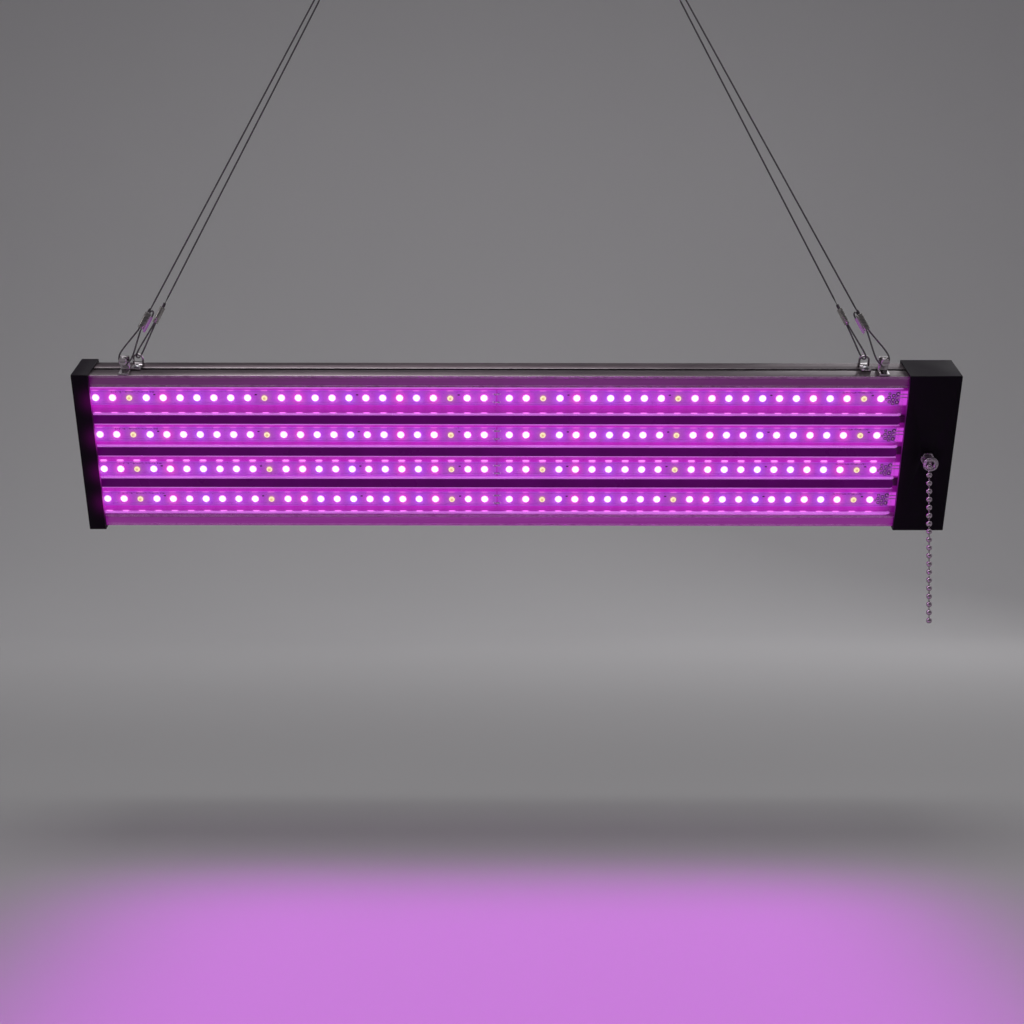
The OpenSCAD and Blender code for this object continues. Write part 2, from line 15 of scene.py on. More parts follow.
import bmesh
import bpy
from mathutils import Matrix, Vector
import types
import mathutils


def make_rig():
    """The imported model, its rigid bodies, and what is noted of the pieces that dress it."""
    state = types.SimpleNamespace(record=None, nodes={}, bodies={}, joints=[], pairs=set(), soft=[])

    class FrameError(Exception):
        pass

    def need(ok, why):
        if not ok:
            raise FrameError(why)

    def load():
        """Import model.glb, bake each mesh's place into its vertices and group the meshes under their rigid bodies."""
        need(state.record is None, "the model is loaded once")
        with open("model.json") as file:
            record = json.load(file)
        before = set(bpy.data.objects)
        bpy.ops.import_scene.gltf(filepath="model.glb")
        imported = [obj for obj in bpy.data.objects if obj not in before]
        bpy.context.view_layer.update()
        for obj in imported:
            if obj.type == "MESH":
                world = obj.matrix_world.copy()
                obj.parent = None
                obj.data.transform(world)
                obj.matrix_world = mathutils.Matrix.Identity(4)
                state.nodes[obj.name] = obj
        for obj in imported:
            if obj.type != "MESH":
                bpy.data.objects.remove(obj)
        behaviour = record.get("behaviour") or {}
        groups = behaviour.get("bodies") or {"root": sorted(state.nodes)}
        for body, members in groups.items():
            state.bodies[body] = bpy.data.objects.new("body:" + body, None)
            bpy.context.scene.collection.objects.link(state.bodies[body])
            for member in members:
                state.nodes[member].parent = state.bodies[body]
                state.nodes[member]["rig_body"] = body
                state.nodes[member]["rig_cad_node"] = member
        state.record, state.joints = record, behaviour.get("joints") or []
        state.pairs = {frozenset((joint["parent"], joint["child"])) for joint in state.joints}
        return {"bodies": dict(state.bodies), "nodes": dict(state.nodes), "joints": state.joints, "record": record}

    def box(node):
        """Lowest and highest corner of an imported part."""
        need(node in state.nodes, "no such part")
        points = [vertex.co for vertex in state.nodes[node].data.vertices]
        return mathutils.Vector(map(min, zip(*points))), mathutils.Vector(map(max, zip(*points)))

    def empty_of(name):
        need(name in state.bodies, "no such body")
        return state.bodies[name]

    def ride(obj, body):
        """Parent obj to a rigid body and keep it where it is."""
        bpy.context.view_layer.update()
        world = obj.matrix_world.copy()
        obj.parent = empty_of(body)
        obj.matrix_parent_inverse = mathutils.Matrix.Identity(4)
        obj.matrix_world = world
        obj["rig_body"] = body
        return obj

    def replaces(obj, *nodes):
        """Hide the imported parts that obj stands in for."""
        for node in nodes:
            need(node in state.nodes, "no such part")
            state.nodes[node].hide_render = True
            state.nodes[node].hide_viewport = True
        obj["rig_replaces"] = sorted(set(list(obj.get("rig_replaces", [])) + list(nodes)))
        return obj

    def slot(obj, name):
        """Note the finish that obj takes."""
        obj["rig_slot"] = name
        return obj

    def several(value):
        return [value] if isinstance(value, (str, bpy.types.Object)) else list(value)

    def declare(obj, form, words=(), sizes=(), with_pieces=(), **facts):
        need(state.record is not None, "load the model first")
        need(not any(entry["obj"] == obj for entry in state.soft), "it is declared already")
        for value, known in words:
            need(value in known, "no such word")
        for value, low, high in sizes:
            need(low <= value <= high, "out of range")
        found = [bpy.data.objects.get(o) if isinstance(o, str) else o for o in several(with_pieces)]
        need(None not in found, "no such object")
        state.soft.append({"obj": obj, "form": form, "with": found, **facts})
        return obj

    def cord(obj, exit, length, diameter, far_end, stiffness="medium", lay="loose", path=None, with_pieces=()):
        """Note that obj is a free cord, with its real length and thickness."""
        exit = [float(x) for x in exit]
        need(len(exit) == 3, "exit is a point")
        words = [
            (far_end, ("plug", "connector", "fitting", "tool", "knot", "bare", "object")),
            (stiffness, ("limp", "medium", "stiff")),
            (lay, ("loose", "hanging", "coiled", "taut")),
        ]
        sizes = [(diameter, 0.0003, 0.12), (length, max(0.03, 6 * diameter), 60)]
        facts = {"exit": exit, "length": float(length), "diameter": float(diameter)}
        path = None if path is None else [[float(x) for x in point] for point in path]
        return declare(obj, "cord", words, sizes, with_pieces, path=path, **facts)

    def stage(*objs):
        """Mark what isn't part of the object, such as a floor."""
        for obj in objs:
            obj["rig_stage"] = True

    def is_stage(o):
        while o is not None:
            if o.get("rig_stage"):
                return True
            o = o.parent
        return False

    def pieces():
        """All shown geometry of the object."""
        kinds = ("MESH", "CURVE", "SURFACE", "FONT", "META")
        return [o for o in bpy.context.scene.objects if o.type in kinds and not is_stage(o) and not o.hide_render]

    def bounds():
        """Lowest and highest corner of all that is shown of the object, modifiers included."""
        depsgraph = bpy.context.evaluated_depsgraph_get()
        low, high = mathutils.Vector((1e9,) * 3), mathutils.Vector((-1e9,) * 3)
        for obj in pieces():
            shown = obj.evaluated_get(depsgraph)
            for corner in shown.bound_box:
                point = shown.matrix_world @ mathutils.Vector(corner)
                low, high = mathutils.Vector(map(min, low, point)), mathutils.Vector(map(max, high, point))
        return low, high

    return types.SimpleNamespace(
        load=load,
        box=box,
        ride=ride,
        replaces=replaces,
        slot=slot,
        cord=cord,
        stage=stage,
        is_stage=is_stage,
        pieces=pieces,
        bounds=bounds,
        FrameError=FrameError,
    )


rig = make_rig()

LOG = logging.getLogger("grow_light")
MM = 0.001
SIZE_FILE = "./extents.json"
LAMP = "lamp"


class Side(Enum):
    """The two boards of a row."""

    LEFT = "left"
    RIGHT = "right"


class Plane(Enum):
    """The line that a rope's loop lies along: the lamp's length, askew to it, or the hook's depth."""

    FRONT_LEFT = (-1.0, 0.0, 0.0)
    FRONT_RIGHT = (1.0, 0.0, 0.0)
    REAR_LEFT = (0.55, 0.82, 0.3)
    REAR_RIGHT = (-0.55, 0.82, 0.3)
    HOOK = (0.0, 1.0, 0.0)


# ---- frame of the lamp


@dataclass(frozen=True)
class LampFrame:
    """The lamp's tilted frame: X along it, Y back from the caps' front plane, Z up from their top edge."""

    origin: tuple[float, float, float] = (0.0124, -0.0404, -0.344)
    tilt: float = math.radians(25.7)

    def matrix(self) -> Matrix:
        """The transform from the lamp frame to the row frame."""
        return Matrix.Translation(self.origin) @ Matrix.Rotation(self.tilt, 4, "X")

    def point(self, x: float, y: float, z: float) -> Vector:
        """A point of the lamp frame, in the row frame."""
        return self.matrix() @ Vector((x, y, z))

    def outward(self, x: float, y: float, z: float) -> Matrix:
        """A frame at a point, whose Z looks out of the lamp's face."""
        return self.matrix() @ Matrix.Translation((x, y, z)) @ Matrix.Rotation(math.pi / 2, 4, "X")


@dataclass(frozen=True)
class RowLayout:
    """Sizes of the LED face that the boards, covers and lights share, in metres in the lamp frame."""

    half_length: float = 0.305
    right_cap: float = 0.0356
    middle_z: float = -0.05885
    tray_y: float = 0.0086
    board_y: float = 0.00755
    chip_y: float = 0.00674
    cover_y: float = 0.0042
    pitch: float = 0.0117
    split_pitches: float = 1.5
    left_count: int = 24
    right_count: int = 23
    rows: tuple[float, ...] = (-0.0395, -0.0119, 0.0145, 0.0378)
    covers: tuple[tuple[float, float], ...] = (
        (-0.0484, -0.0273), (-0.0211, -0.0031), (0.0031, 0.0211), (0.0273, 0.0484))
    warm: tuple[int, ...] = (3, 11, 22)

    @property
    def right_face(self) -> float:
        """X of the right cap's inner edge."""
        return self.half_length - self.right_cap

    @property
    def board_end(self) -> float:
        """X of the right boards' right ends."""
        return self.right_face - 0.0037

    def first(self, side: Side) -> float:
        """X of a board's first LED."""
        left = -self.half_length + 0.0133
        if side is Side.LEFT:
            return left
        return left + (self.left_count - 1 + self.split_pitches) * self.pitch

    def count(self, side: Side) -> int:
        """How many LEDs a board has."""
        return self.left_count if side is Side.LEFT else self.right_count

    def led_x(self, side: Side, number: int) -> float:
        """X of an LED, numbered from 1 on each board."""
        return self.first(side) + (number - 1) * self.pitch

    def row_z(self, row: int) -> float:
        """Z of a row's LEDs."""
        return self.middle_z - self.rows[row]


FRAME = LampFrame()
LAYOUT = RowLayout()

# ---- shader building blocks


class Nodes:
    """A short way to add and join nodes in one tree."""

    def __init__(self, tree: bpy.types.NodeTree) -> None:
        """Keeps the tree that nodes are added to."""
        self.tree = tree

    def add(self, kind: str, values: dict | None = None, **settings) -> bpy.types.Node:
        """Adds a node.

        Args:
            kind: the node's type, without its ShaderNode prefix.
            values: what each input holds, by name or place: a number, a colour or another node's output.
            settings: the node's own properties.

        Returns:
            The new node.
        """
        node = self.tree.nodes.new("ShaderNode" + kind)
        for name, value in settings.items():
            setattr(node, name, value)
        for key, value in (values or {}).items():
            self.put(node.inputs[key], value)
        return node

    def put(self, socket: bpy.types.NodeSocket, value) -> None:
        """Sets a socket, or links it when the value is another node's output. Colours are opaque."""
        if isinstance(value, bpy.types.NodeSocket):
            self.tree.links.new(value, socket)
        else:
            socket.default_value = (*value, 1) if socket.type == "RGBA" and len(value) == 3 else value

    def math(self, operation: str, *values) -> bpy.types.NodeSocket:
        """A Math node's result."""
        return self.add("Math", dict(enumerate(values)), operation=operation).outputs[0]

    def times(self, first, second) -> bpy.types.NodeSocket:
        """The product of two values."""
        return self.math("MULTIPLY", first, second)

    def plus(self, first, second) -> bpy.types.NodeSocket:
        """The sum of two values."""
        return self.math("ADD", first, second)

    def minus(self, first, second) -> bpy.types.NodeSocket:
        """The first value less the second."""
        return self.math("SUBTRACT", first, second)

    def most(self, first, second) -> bpy.types.NodeSocket:
        """The greater of two values."""
        return self.math("MAXIMUM", first, second)

    def apart(self, first, second) -> bpy.types.NodeSocket:
        """How far two values are apart."""
        return self.math("ABSOLUTE", self.minus(first, second))

    def place(self) -> bpy.types.NodeSocket:
        """The shaded point, in the object's own frame."""
        return self.add("TexCoord").outputs["Object"]

    def part(self, vector, axis: str) -> bpy.types.NodeSocket:
        """A vector's X, Y or Z."""
        return self.add("SeparateXYZ", {0: vector}).outputs[axis]

    def surface(self, kind: str) -> bpy.types.NodeSocket:
        """What the Geometry node says of the shaded point."""
        return self.add("NewGeometry").outputs[kind]

    def noise(self, place, scale: float, detail: float) -> bpy.types.NodeSocket:
        """Noise at a point."""
        return self.add("TexNoise", {"Vector": place, "Scale": scale, "Detail": detail}).outputs[0]

    def drawn(self, place, along: float, across: float) -> bpy.types.NodeSocket:
        """A point scaled so that noise at it is drawn out along X."""
        return self.add("Mapping", {"Vector": place, "Scale": (along, across, across)}).outputs[0]

    def mix(self, factor, first, second, blend: str = "MIX") -> bpy.types.NodeSocket:
        """Two colours mixed by a factor."""
        node = self.add("Mix", data_type="RGBA", blend_type=blend)
        for place, value in ((0, factor), (6, first), (7, second)):
            self.put(node.inputs[place], value)
        return node.outputs[2]

    def spread(self, value, low: float, high: float, to_low: float = 0.0, to_high: float = 1.0):
        """A value mapped smoothly from one range to another."""
        keys = {"Value": value, "From Min": low, "From Max": high, "To Min": to_low, "To Max": to_high}
        return self.add("MapRange", keys, interpolation_type="SMOOTHSTEP").outputs[0]

    def group(self, tree: bpy.types.NodeTree, **values) -> bpy.types.Node:
        """Places a node group with its own values."""
        node = self.add("Group", node_tree=tree)
        for name, value in values.items():
            self.put(node.inputs[name.replace("_", " ")], value)
        return node


def grey(level: float) -> tuple[float, float, float]:
    """A grey of a given brightness."""
    return (level, level, level)


class SharedEffect:
    """A shader node group that is built once and placed in each material that uses it."""

    name = "effect"
    inputs: tuple[tuple[str, str, object], ...] = ()
    outputs: tuple[tuple[str, str], ...] = ()

    @classmethod
    def tree(cls) -> bpy.types.NodeTree:
        """The group's tree, built the first time it is asked for."""
        if cls.name in bpy.data.node_groups:
            return bpy.data.node_groups[cls.name]
        tree = bpy.data.node_groups.new(cls.name, "ShaderNodeTree")
        for label, kind, default in cls.inputs:
            socket = tree.interface.new_socket(label, in_out="INPUT", socket_type="NodeSocket" + kind)
            socket.default_value = default
        for label, kind in cls.outputs:
            tree.interface.new_socket(label, in_out="OUTPUT", socket_type="NodeSocket" + kind)
        nodes = Nodes(tree)
        entry = tree.nodes.new("NodeGroupInput")
        leave = tree.nodes.new("NodeGroupOutput")
        for label, value in cls.wire(nodes, {s.name: s for s in entry.outputs}).items():
            nodes.put(leave.inputs[label], value)
        return tree

    @classmethod
    def wire(cls, nodes: Nodes, given: dict) -> dict:
        """Builds the inside of the group, and returns what each output holds."""
        raise NotImplementedError


class MouldedGrain(SharedEffect):
    """The fine spark-eroded texture and slight cloudiness of moulded plastic."""

    name = "moulded_grain"
    inputs = (("Color", "Color", (0.02, 0.02, 0.02, 1)), ("Cloud", "Float", 0.3),
              ("Scale", "Float", 1800.0), ("Gloss", "Float", 0.4))
    outputs = (("Color", "Color"), ("Roughness", "Float"), ("Height", "Float"))

    @classmethod
    def wire(cls, nodes: Nodes, given: dict) -> dict:
        """Fine noise for the relief, and broad noise for colour and gloss."""
        place = nodes.place()
        fine = nodes.add("TexNoise", {"Vector": place, "Scale": given["Scale"], "Detail": 3.0}).outputs[0]
        broad = nodes.noise(place, 38.0, 4.0)
        lifted = nodes.mix(nodes.spread(broad, 0.35, 0.75), grey(0.75), grey(1.45))
        tinted = nodes.mix(given["Cloud"], (1, 1, 1), lifted)
        wave = nodes.times(nodes.minus(broad, 0.5), 0.25)
        return {"Color": nodes.mix(1.0, given["Color"], tinted, "MULTIPLY"),
                "Roughness": nodes.plus(given["Gloss"], wave), "Height": fine}


class DrawnMetal(SharedEffect):
    """Fine streaks along X, as an extrusion die or a brush leaves them."""

    name = "drawn_metal"
    inputs = (("Color", "Color", (0.5, 0.5, 0.5, 1)), ("Streaks", "Float", 0.3), ("Gloss", "Float", 0.35))
    outputs = (("Color", "Color"), ("Roughness", "Float"), ("Height", "Float"))

    @classmethod
    def wire(cls, nodes: Nodes, given: dict) -> dict:
        """Noise that is drawn out a hundred times along X."""
        place = nodes.place()
        drawn = nodes.drawn(place, 6.0, 900.0)
        line = nodes.noise(drawn, 1.0, 5.0)
        stain = nodes.noise(place, 22.0, 3.0)
        shade = nodes.mix(nodes.spread(line, 0.3, 0.7), grey(0.7), grey(1.3))
        tinted = nodes.mix(given["Streaks"], (1, 1, 1), shade)
        rough = nodes.times(nodes.minus(line, 0.5), 0.3)
        cloud = nodes.times(nodes.minus(stain, 0.5), 0.15)
        return {"Color": nodes.mix(1.0, given["Color"], tinted, "MULTIPLY"),
                "Roughness": nodes.plus(given["Gloss"], nodes.plus(rough, cloud)),
                "Height": line}


class EdgeWearAndHighlight(SharedEffect):
    """A mask that is 1 along outer edges, broken up by noise. It lays scuffing together with painted edge highlights.
    """

    name = "edge_wear"
    inputs = (("Width", "Float", 0.0006),)
    outputs = (("Mask", "Float"),)

    @classmethod
    def wire(cls, nodes: Nodes, given: dict) -> dict:
        """Compares the rounded normal with the true one."""
        soft = nodes.add("Bevel", {"Radius": given["Width"]}, samples=4).outputs[0]
        true = nodes.surface("True Normal")
        same = nodes.add("VectorMath", {0: soft, 1: true}, operation="DOT_PRODUCT").outputs["Value"]
        place = nodes.place()
        noise = nodes.noise(place, 260.0, 4.0)
        bent = nodes.minus(1.0, nodes.spread(same, 0.8, 0.995))
        return {"Mask": nodes.times(bent, nodes.spread(noise, 0.25, 0.6, 0.35, 1.0))}


class SettledDust(SharedEffect):
    """A mask for dust on faces that look up."""

    name = "settled_dust"
    inputs = (("Amount", "Float", 0.3),)
    outputs = (("Mask", "Float"),)

    @classmethod
    def wire(cls, nodes: Nodes, given: dict) -> dict:
        """The normal's upward share, broken up by noise."""
        normal = nodes.surface("Normal")
        up = nodes.part(normal, "Z")
        place = nodes.place()
        noise = nodes.noise(place, 120.0, 6.0)
        level = nodes.times(nodes.spread(up, 0.3, 1.0), nodes.spread(noise, 0.3, 0.8))
        return {"Mask": nodes.times(level, given["Amount"])}


class LedGlow(SharedEffect):
    """Light on a surface from the LEDs of one board.

    It measures, in the lamp frame, how far a point is from the nearest LED of the board.
    """

    name = "led_glow"
    inputs = tuple((name, "Float", value)
                   for name, value in (("First", 0.0), ("Last", 23.0), ("Row", 0.0), ("Reach", 0.004)))
    outputs = tuple((name, "Float") for name in ("Halo", "Along", "Warm", "Hue", "Across", "Step", "Away"))

    @classmethod
    def wire(cls, nodes: Nodes, given: dict) -> dict:
        """Turns the point into the lamp frame, and counts LEDs along X."""
        axis = lamp_axes(nodes)
        steps = nodes.math("DIVIDE", nodes.minus(axis["X"], given["First"]), LAYOUT.pitch)
        count = nodes.most(nodes.math("MINIMUM", nodes.math("ROUND", steps), given["Last"]), 0.0)
        dx = nodes.times(nodes.minus(steps, count), LAYOUT.pitch)
        dz = nodes.minus(axis["Z"], given["Row"])
        far = nodes.math("SQRT", nodes.plus(nodes.times(dx, dx), nodes.times(dz, dz)))
        ratio = nodes.math("DIVIDE", far, given["Reach"])
        halo = nodes.math("POWER", 0.5, nodes.times(ratio, ratio))
        warm: object = 0.0
        for number in LAYOUT.warm:
            same = nodes.math("COMPARE", count, float(number - 1), 0.5)
            warm = nodes.plus(warm, same)
        hue = nodes.add("TexWhiteNoise", {"W": count}, noise_dimensions="1D").outputs["Value"]
        near = nodes.spread(nodes.math("ABSOLUTE", dx), 0.0012, 0.0031, 1.0, 0.0)
        return {"Halo": halo, "Along": near, "Warm": warm, "Hue": hue, "Across": dz, "Step": steps,
                "Away": far}


# ---- finishes

BUILT: dict[str, bpy.types.Material] = {}


@dataclass(frozen=True)
class Finish:
    """A material: its name, base colour and gloss. Each subclass adds what its surface shows."""

    name: str
    color: tuple[float, float, float] = (0.5, 0.5, 0.5)
    gloss: float = 0.4
    relief: float = 0.00002
    shine: float = 0.5

    def material(self) -> bpy.types.Material:
        """The material, built the first time it is asked for."""
        if self.name in BUILT:
            return BUILT[self.name]
        made = bpy.data.materials.new(self.name)
        BUILT[self.name] = made
        made.use_nodes = True
        made.diffuse_color = (*self.color, 1)
        nodes = Nodes(made.node_tree)
        shader = made.node_tree.nodes["Principled BSDF"]
        nodes.put(shader.inputs["Base Color"], self.color)
        shader.inputs["Specular IOR Level"].default_value = self.shine
        self.dress(nodes, shader)
        return made

    def bump(self, nodes: Nodes, shader: bpy.types.Node, height) -> None:
        """Joins a height to the shader's normal."""
        node = nodes.add("Bump", {"Height": height, "Distance": self.relief, "Strength": 1.0})
        nodes.put(shader.inputs["Normal"], node.outputs[0])

    def emit(self, nodes: Nodes, shader: bpy.types.Node, light) -> None:
        """Joins a colour to the shader's own light."""
        nodes.put(shader.inputs["Emission Color"], light)
        shader.inputs["Emission Strength"].default_value = 1.0

    def dress(self, nodes: Nodes, shader: bpy.types.Node) -> None:
        """Adds the surface's own nodes."""
        raise NotImplementedError


@dataclass(frozen=True)
class Plastic(Finish):
    """Moulded plastic with paler edges, partly scuffing and partly painted edge highlights, and some dust on top."""

    cloud: float = 0.35
    grain: float = 1800.0
    wear: float = 0.5
    edge: tuple[float, float, float] = (0.09, 0.085, 0.095)
    dust: float = 0.25

    def dress(self, nodes: Nodes, shader: bpy.types.Node) -> None:
        """Grain, paler edges of scuffing and painted edge highlights, and dust."""
        grain = nodes.group(MouldedGrain.tree(), Color=self.color, Cloud=self.cloud, Scale=self.grain,
                            Gloss=self.gloss)
        scuff_and_highlight = nodes.group(EdgeWearAndHighlight.tree(), Width=0.0006).outputs["Mask"]
        dust = nodes.group(SettledDust.tree(), Amount=self.dust).outputs["Mask"]
        scuff_and_highlight = nodes.times(scuff_and_highlight, self.wear)
        # The edge colour lays scuffing together with painted edge highlights.
        shade = nodes.mix(scuff_and_highlight, grain.outputs["Color"], self.edge)
        nodes.put(shader.inputs["Base Color"], nodes.mix(dust, shade, (0.16, 0.15, 0.15)))
        nodes.put(shader.inputs["Roughness"], nodes.plus(grain.outputs["Roughness"], nodes.times(dust, 0.8)))
        self.bump(nodes, shader, grain.outputs["Height"])


@dataclass(frozen=True)
class Metal(Finish):
    """Drawn, brushed or plated metal."""

    streaks: float = 0.3
    wear: float = 0.4
    edge: tuple[float, float, float] = (0.8, 0.78, 0.8)
    dust: float = 0.0

    def dress(self, nodes: Nodes, shader: bpy.types.Node) -> None:
        """Streaks, paler edges of scuffing and painted edge highlights, and dust."""
        shader.inputs["Metallic"].default_value = 1.0
        drawn = nodes.group(DrawnMetal.tree(), Color=self.color, Streaks=self.streaks, Gloss=self.gloss)
        scuff_and_highlight = nodes.group(EdgeWearAndHighlight.tree(), Width=0.0004).outputs["Mask"]
        # The edge colour lays scuffing together with painted edge highlights.
        shade = nodes.mix(nodes.times(scuff_and_highlight, self.wear), drawn.outputs["Color"], self.edge)
        rough = drawn.outputs["Roughness"]
        if self.dust:
            dust = nodes.group(SettledDust.tree(), Amount=self.dust).outputs["Mask"]
            shade = nodes.mix(dust, shade, (0.2, 0.19, 0.19))
            rough = nodes.plus(rough, nodes.times(dust, 0.6))
        nodes.put(shader.inputs["Base Color"], shade)
        nodes.put(shader.inputs["Roughness"], rough)
        self.bump(nodes, shader, drawn.outputs["Height"])


@dataclass(frozen=True)
class ClearCover(Finish):
    """Clear moulded cover whose rims catch the light of the LEDs beside them."""

    side_z: tuple[float, float] = (0.0, 0.0)

    def dress(self, nodes: Nodes, shader: bpy.types.Node) -> None:
        """Thin see-through face with fine moulding lines, and lit rims that are less clear."""
        shader.inputs["Roughness"].default_value = 0.1
        face = nodes.add("LayerWeight", {"Blend": 0.35}).outputs["Facing"]
        rim = rim_mask(nodes, self.side_z)
        place = nodes.place()
        drawn = nodes.drawn(place, 9.0, 700.0)
        line = nodes.noise(drawn, 1.0, 3.0)
        slow = nodes.noise(place, 30.0, 2.0)
        alpha = nodes.plus(nodes.times(face, 0.15),
                           nodes.times(rim, nodes.spread(line, 0.3, 0.7, 0.3, 0.6)))
        nodes.put(shader.inputs["Alpha"], nodes.plus(alpha, 0.03))
        # Painted rim glint: an emitted purple on the rims stands in for the LED light they catch.
        painted_rim_glint = nodes.mix(slow, (0.26, 0.05, 0.33), (0.56, 0.14, 0.66))
        self.emit(nodes, shader, nodes.mix(rim, (0, 0, 0), painted_rim_glint))
        self.bump(nodes, shader, line)


@dataclass(frozen=True)
class LitBoard(Finish):
    """White solder mask with tracks, washed with magenta by the LEDs on it."""

    row: int = 0
    side: Side = Side.LEFT
    reach: float = 0.0034
    tracks: tuple[float, ...] = (0.0046, -0.0033, -0.0046)
    track_half: float = 0.00016
    print_z: float = 0.0043
    print_half: float = 0.0006
    # Height above each LED of its painted reflection dash.
    reflection_z: float = 0.0052

    def dress(self, nodes: Nodes, shader: bpy.types.Node) -> None:
        """Tracks, vias, small printed marks, and the LEDs' halos."""
        glow = board_glow(nodes, self.row, self.side, self.reach)
        across = glow["Across"]
        place = nodes.place()
        track = stripes(nodes, across, self.tracks, self.track_half)
        vias = nodes.add("TexVoronoi", {"Vector": place, "Scale": 420.0, "Randomness": 1.0})
        dots = nodes.times(nodes.spread(vias.outputs["Distance"], 0.1, 0.17, 1.0, 0.0),
                           nodes.spread(nodes.math("ABSOLUTE", across), 0.0026, 0.003))
        cloud = nodes.noise(place, 300.0, 3.0)
        mask = nodes.mix(nodes.spread(cloud, 0.35, 0.7), self.color, (0.22, 0.18, 0.26))
        marks = nodes.most(self.print_marks(nodes, glow), nodes.times(dots, 0.6))
        marks = nodes.most(marks, nodes.times(track, 0.3))
        nodes.put(shader.inputs["Base Color"], nodes.mix(marks, mask, (0.06, 0.03, 0.08)))
        shader.inputs["Roughness"].default_value = self.gloss
        self.emit(nodes, shader, self.light(nodes, glow, cloud, marks))
        self.bump(nodes, shader, track)

    def print_marks(self, nodes: Nodes, glow) -> bpy.types.NodeSocket:
        """Tiny dark ticks along the upper edge, over the third LED from the board's outer end."""
        cells = nodes.add("CombineXYZ", {"X": nodes.times(glow["Step"], 17.0),
                                         "Y": nodes.times(glow["Across"], 2600.0)}).outputs[0]
        whole = nodes.add("VectorMath", {0: cells}, operation="FLOOR").outputs[0]
        tick = nodes.add("TexWhiteNoise", {"Vector": whole}, noise_dimensions="2D").outputs["Value"]
        middle, half = (2.2, 1.3) if self.side is Side.LEFT else (20.6, 0.9)
        span = nodes.math("LESS_THAN", nodes.apart(glow["Step"], middle), half)
        band = nodes.math("LESS_THAN", nodes.apart(glow["Across"], self.print_z), self.print_half)
        lit = nodes.math("GREATER_THAN", tick, 0.5)
        return nodes.times(nodes.times(span, band), lit)

    def light(self, nodes: Nodes, glow, cloud, marks) -> bpy.types.NodeSocket:
        """The colour of the board's light: purple all over, pink to violet round each LED, white at it, with a painted
        reflection dash above each LED.
        """
        shade = nodes.mix(cloud, grey(0.75), grey(1.15))
        reach = nodes.spread(glow["Away"], 0.006, 0.02, 1.0, 0.28)
        wash = nodes.mix(1.0, (0.36, 0.02, 0.52), shade, "MULTIPLY")
        wash = nodes.mix(reach, (0.0, 0.0, 0.0), wash)
        wash = nodes.mix(nodes.times(marks, 0.75), wash, (0.05, 0.0, 0.08))
        pink = nodes.mix(glow["Hue"], (0.95, 0.03, 0.62), (0.42, 0.05, 0.95))
        tint = nodes.mix(glow["Warm"], pink, (0.42, 0.08, 0.42))
        halo = nodes.mix(nodes.times(glow["Halo"], 0.85), wash, tint)
        # Painted reflection: a pink dash above each LED near the board's upper edge.
        painted_reflection = nodes.spread(nodes.apart(glow["Across"], self.reflection_z),
                           0.0002, 0.0005, 0.5, 0.0)
        halo = nodes.mix(nodes.times(painted_reflection, glow["Along"]), halo, (1.0, 0.2, 0.8))
        core = nodes.mix(glow["Warm"], (3.0, 1.5, 3.2), (0.6, 0.3, 0.3))
        return nodes.mix(nodes.spread(glow["Away"], 0.0015, 0.0029, 0.95, 0.0), halo, core)


@dataclass(frozen=True)
class ReflectionDash:
    """The painted reflection dashes of the LEDs on a floor film: their height from the face's middle, half width and
    power.
    """

    z: float = 0.0
    half: float = 0.5 * MM
    power: float = 1.0


@dataclass(frozen=True)
class LitFloor(Finish):
    """Reflective floor beside a row, deep magenta under the LEDs' light."""

    row: int = 0
    dash: ReflectionDash = ReflectionDash()
    reach: float = 0.011

    def dress(self, nodes: Nodes, shader: bpy.types.Node) -> None:
        """Broad pools of light, one for each LED, a painted reflection dash for each at one edge, and a painted patch
        of light past the board's end.
        """
        glow = row_glow(nodes, self.row, self.reach)
        place = nodes.place()
        cloud = nodes.noise(place, 160.0, 4.0)
        drawn = nodes.drawn(place, 12.0, 1400.0)
        line = nodes.noise(drawn, 1.0, 3.0)
        nodes.put(shader.inputs["Base Color"], nodes.mix(cloud, self.color, (0.06, 0.03, 0.06)))
        nodes.put(shader.inputs["Roughness"], nodes.spread(cloud, 0.2, 0.8, 0.2, 0.45))
        pool = nodes.mix(glow["Halo"], (0.07, 0.0, 0.08), (0.66, 0.014, 0.66))
        streak = nodes.mix(line, grey(0.8), grey(1.15))
        pool = nodes.mix(1.0, pool, streak, "MULTIPLY")
        up = lamp_z(nodes)
        # Painted light: a magenta patch past the board's right end.
        pool = nodes.mix(self.end_patch(nodes, up), pool, (0.62, 0.06, 0.72))
        # Painted reflection: a bright dash of each LED along one edge of the film.
        half = self.dash.half
        dash = nodes.spread(nodes.apart(up, self.dash.z), half * 0.5, half * 1.2, self.dash.power, 0.0)
        mask = nodes.times(dash, glow["Along"])
        self.emit(nodes, shader, nodes.mix(mask, pool, (1.6, 0.35, 1.5)))
        self.bump(nodes, shader, line)

    def end_patch(self, nodes: Nodes, up) -> bpy.types.NodeSocket:
        """The painted patch of LED light between the board's right end and the cap."""
        past = nodes.spread(lamp_axes(nodes)["X"], LAYOUT.board_end - 0.0008, LAYOUT.board_end + 0.0004)
        away = nodes.math("ABSOLUTE", nodes.plus(up, LAYOUT.rows[self.row]))
        return nodes.times(past, nodes.spread(away, 0.0045, 0.006, 0.9, 0.0))


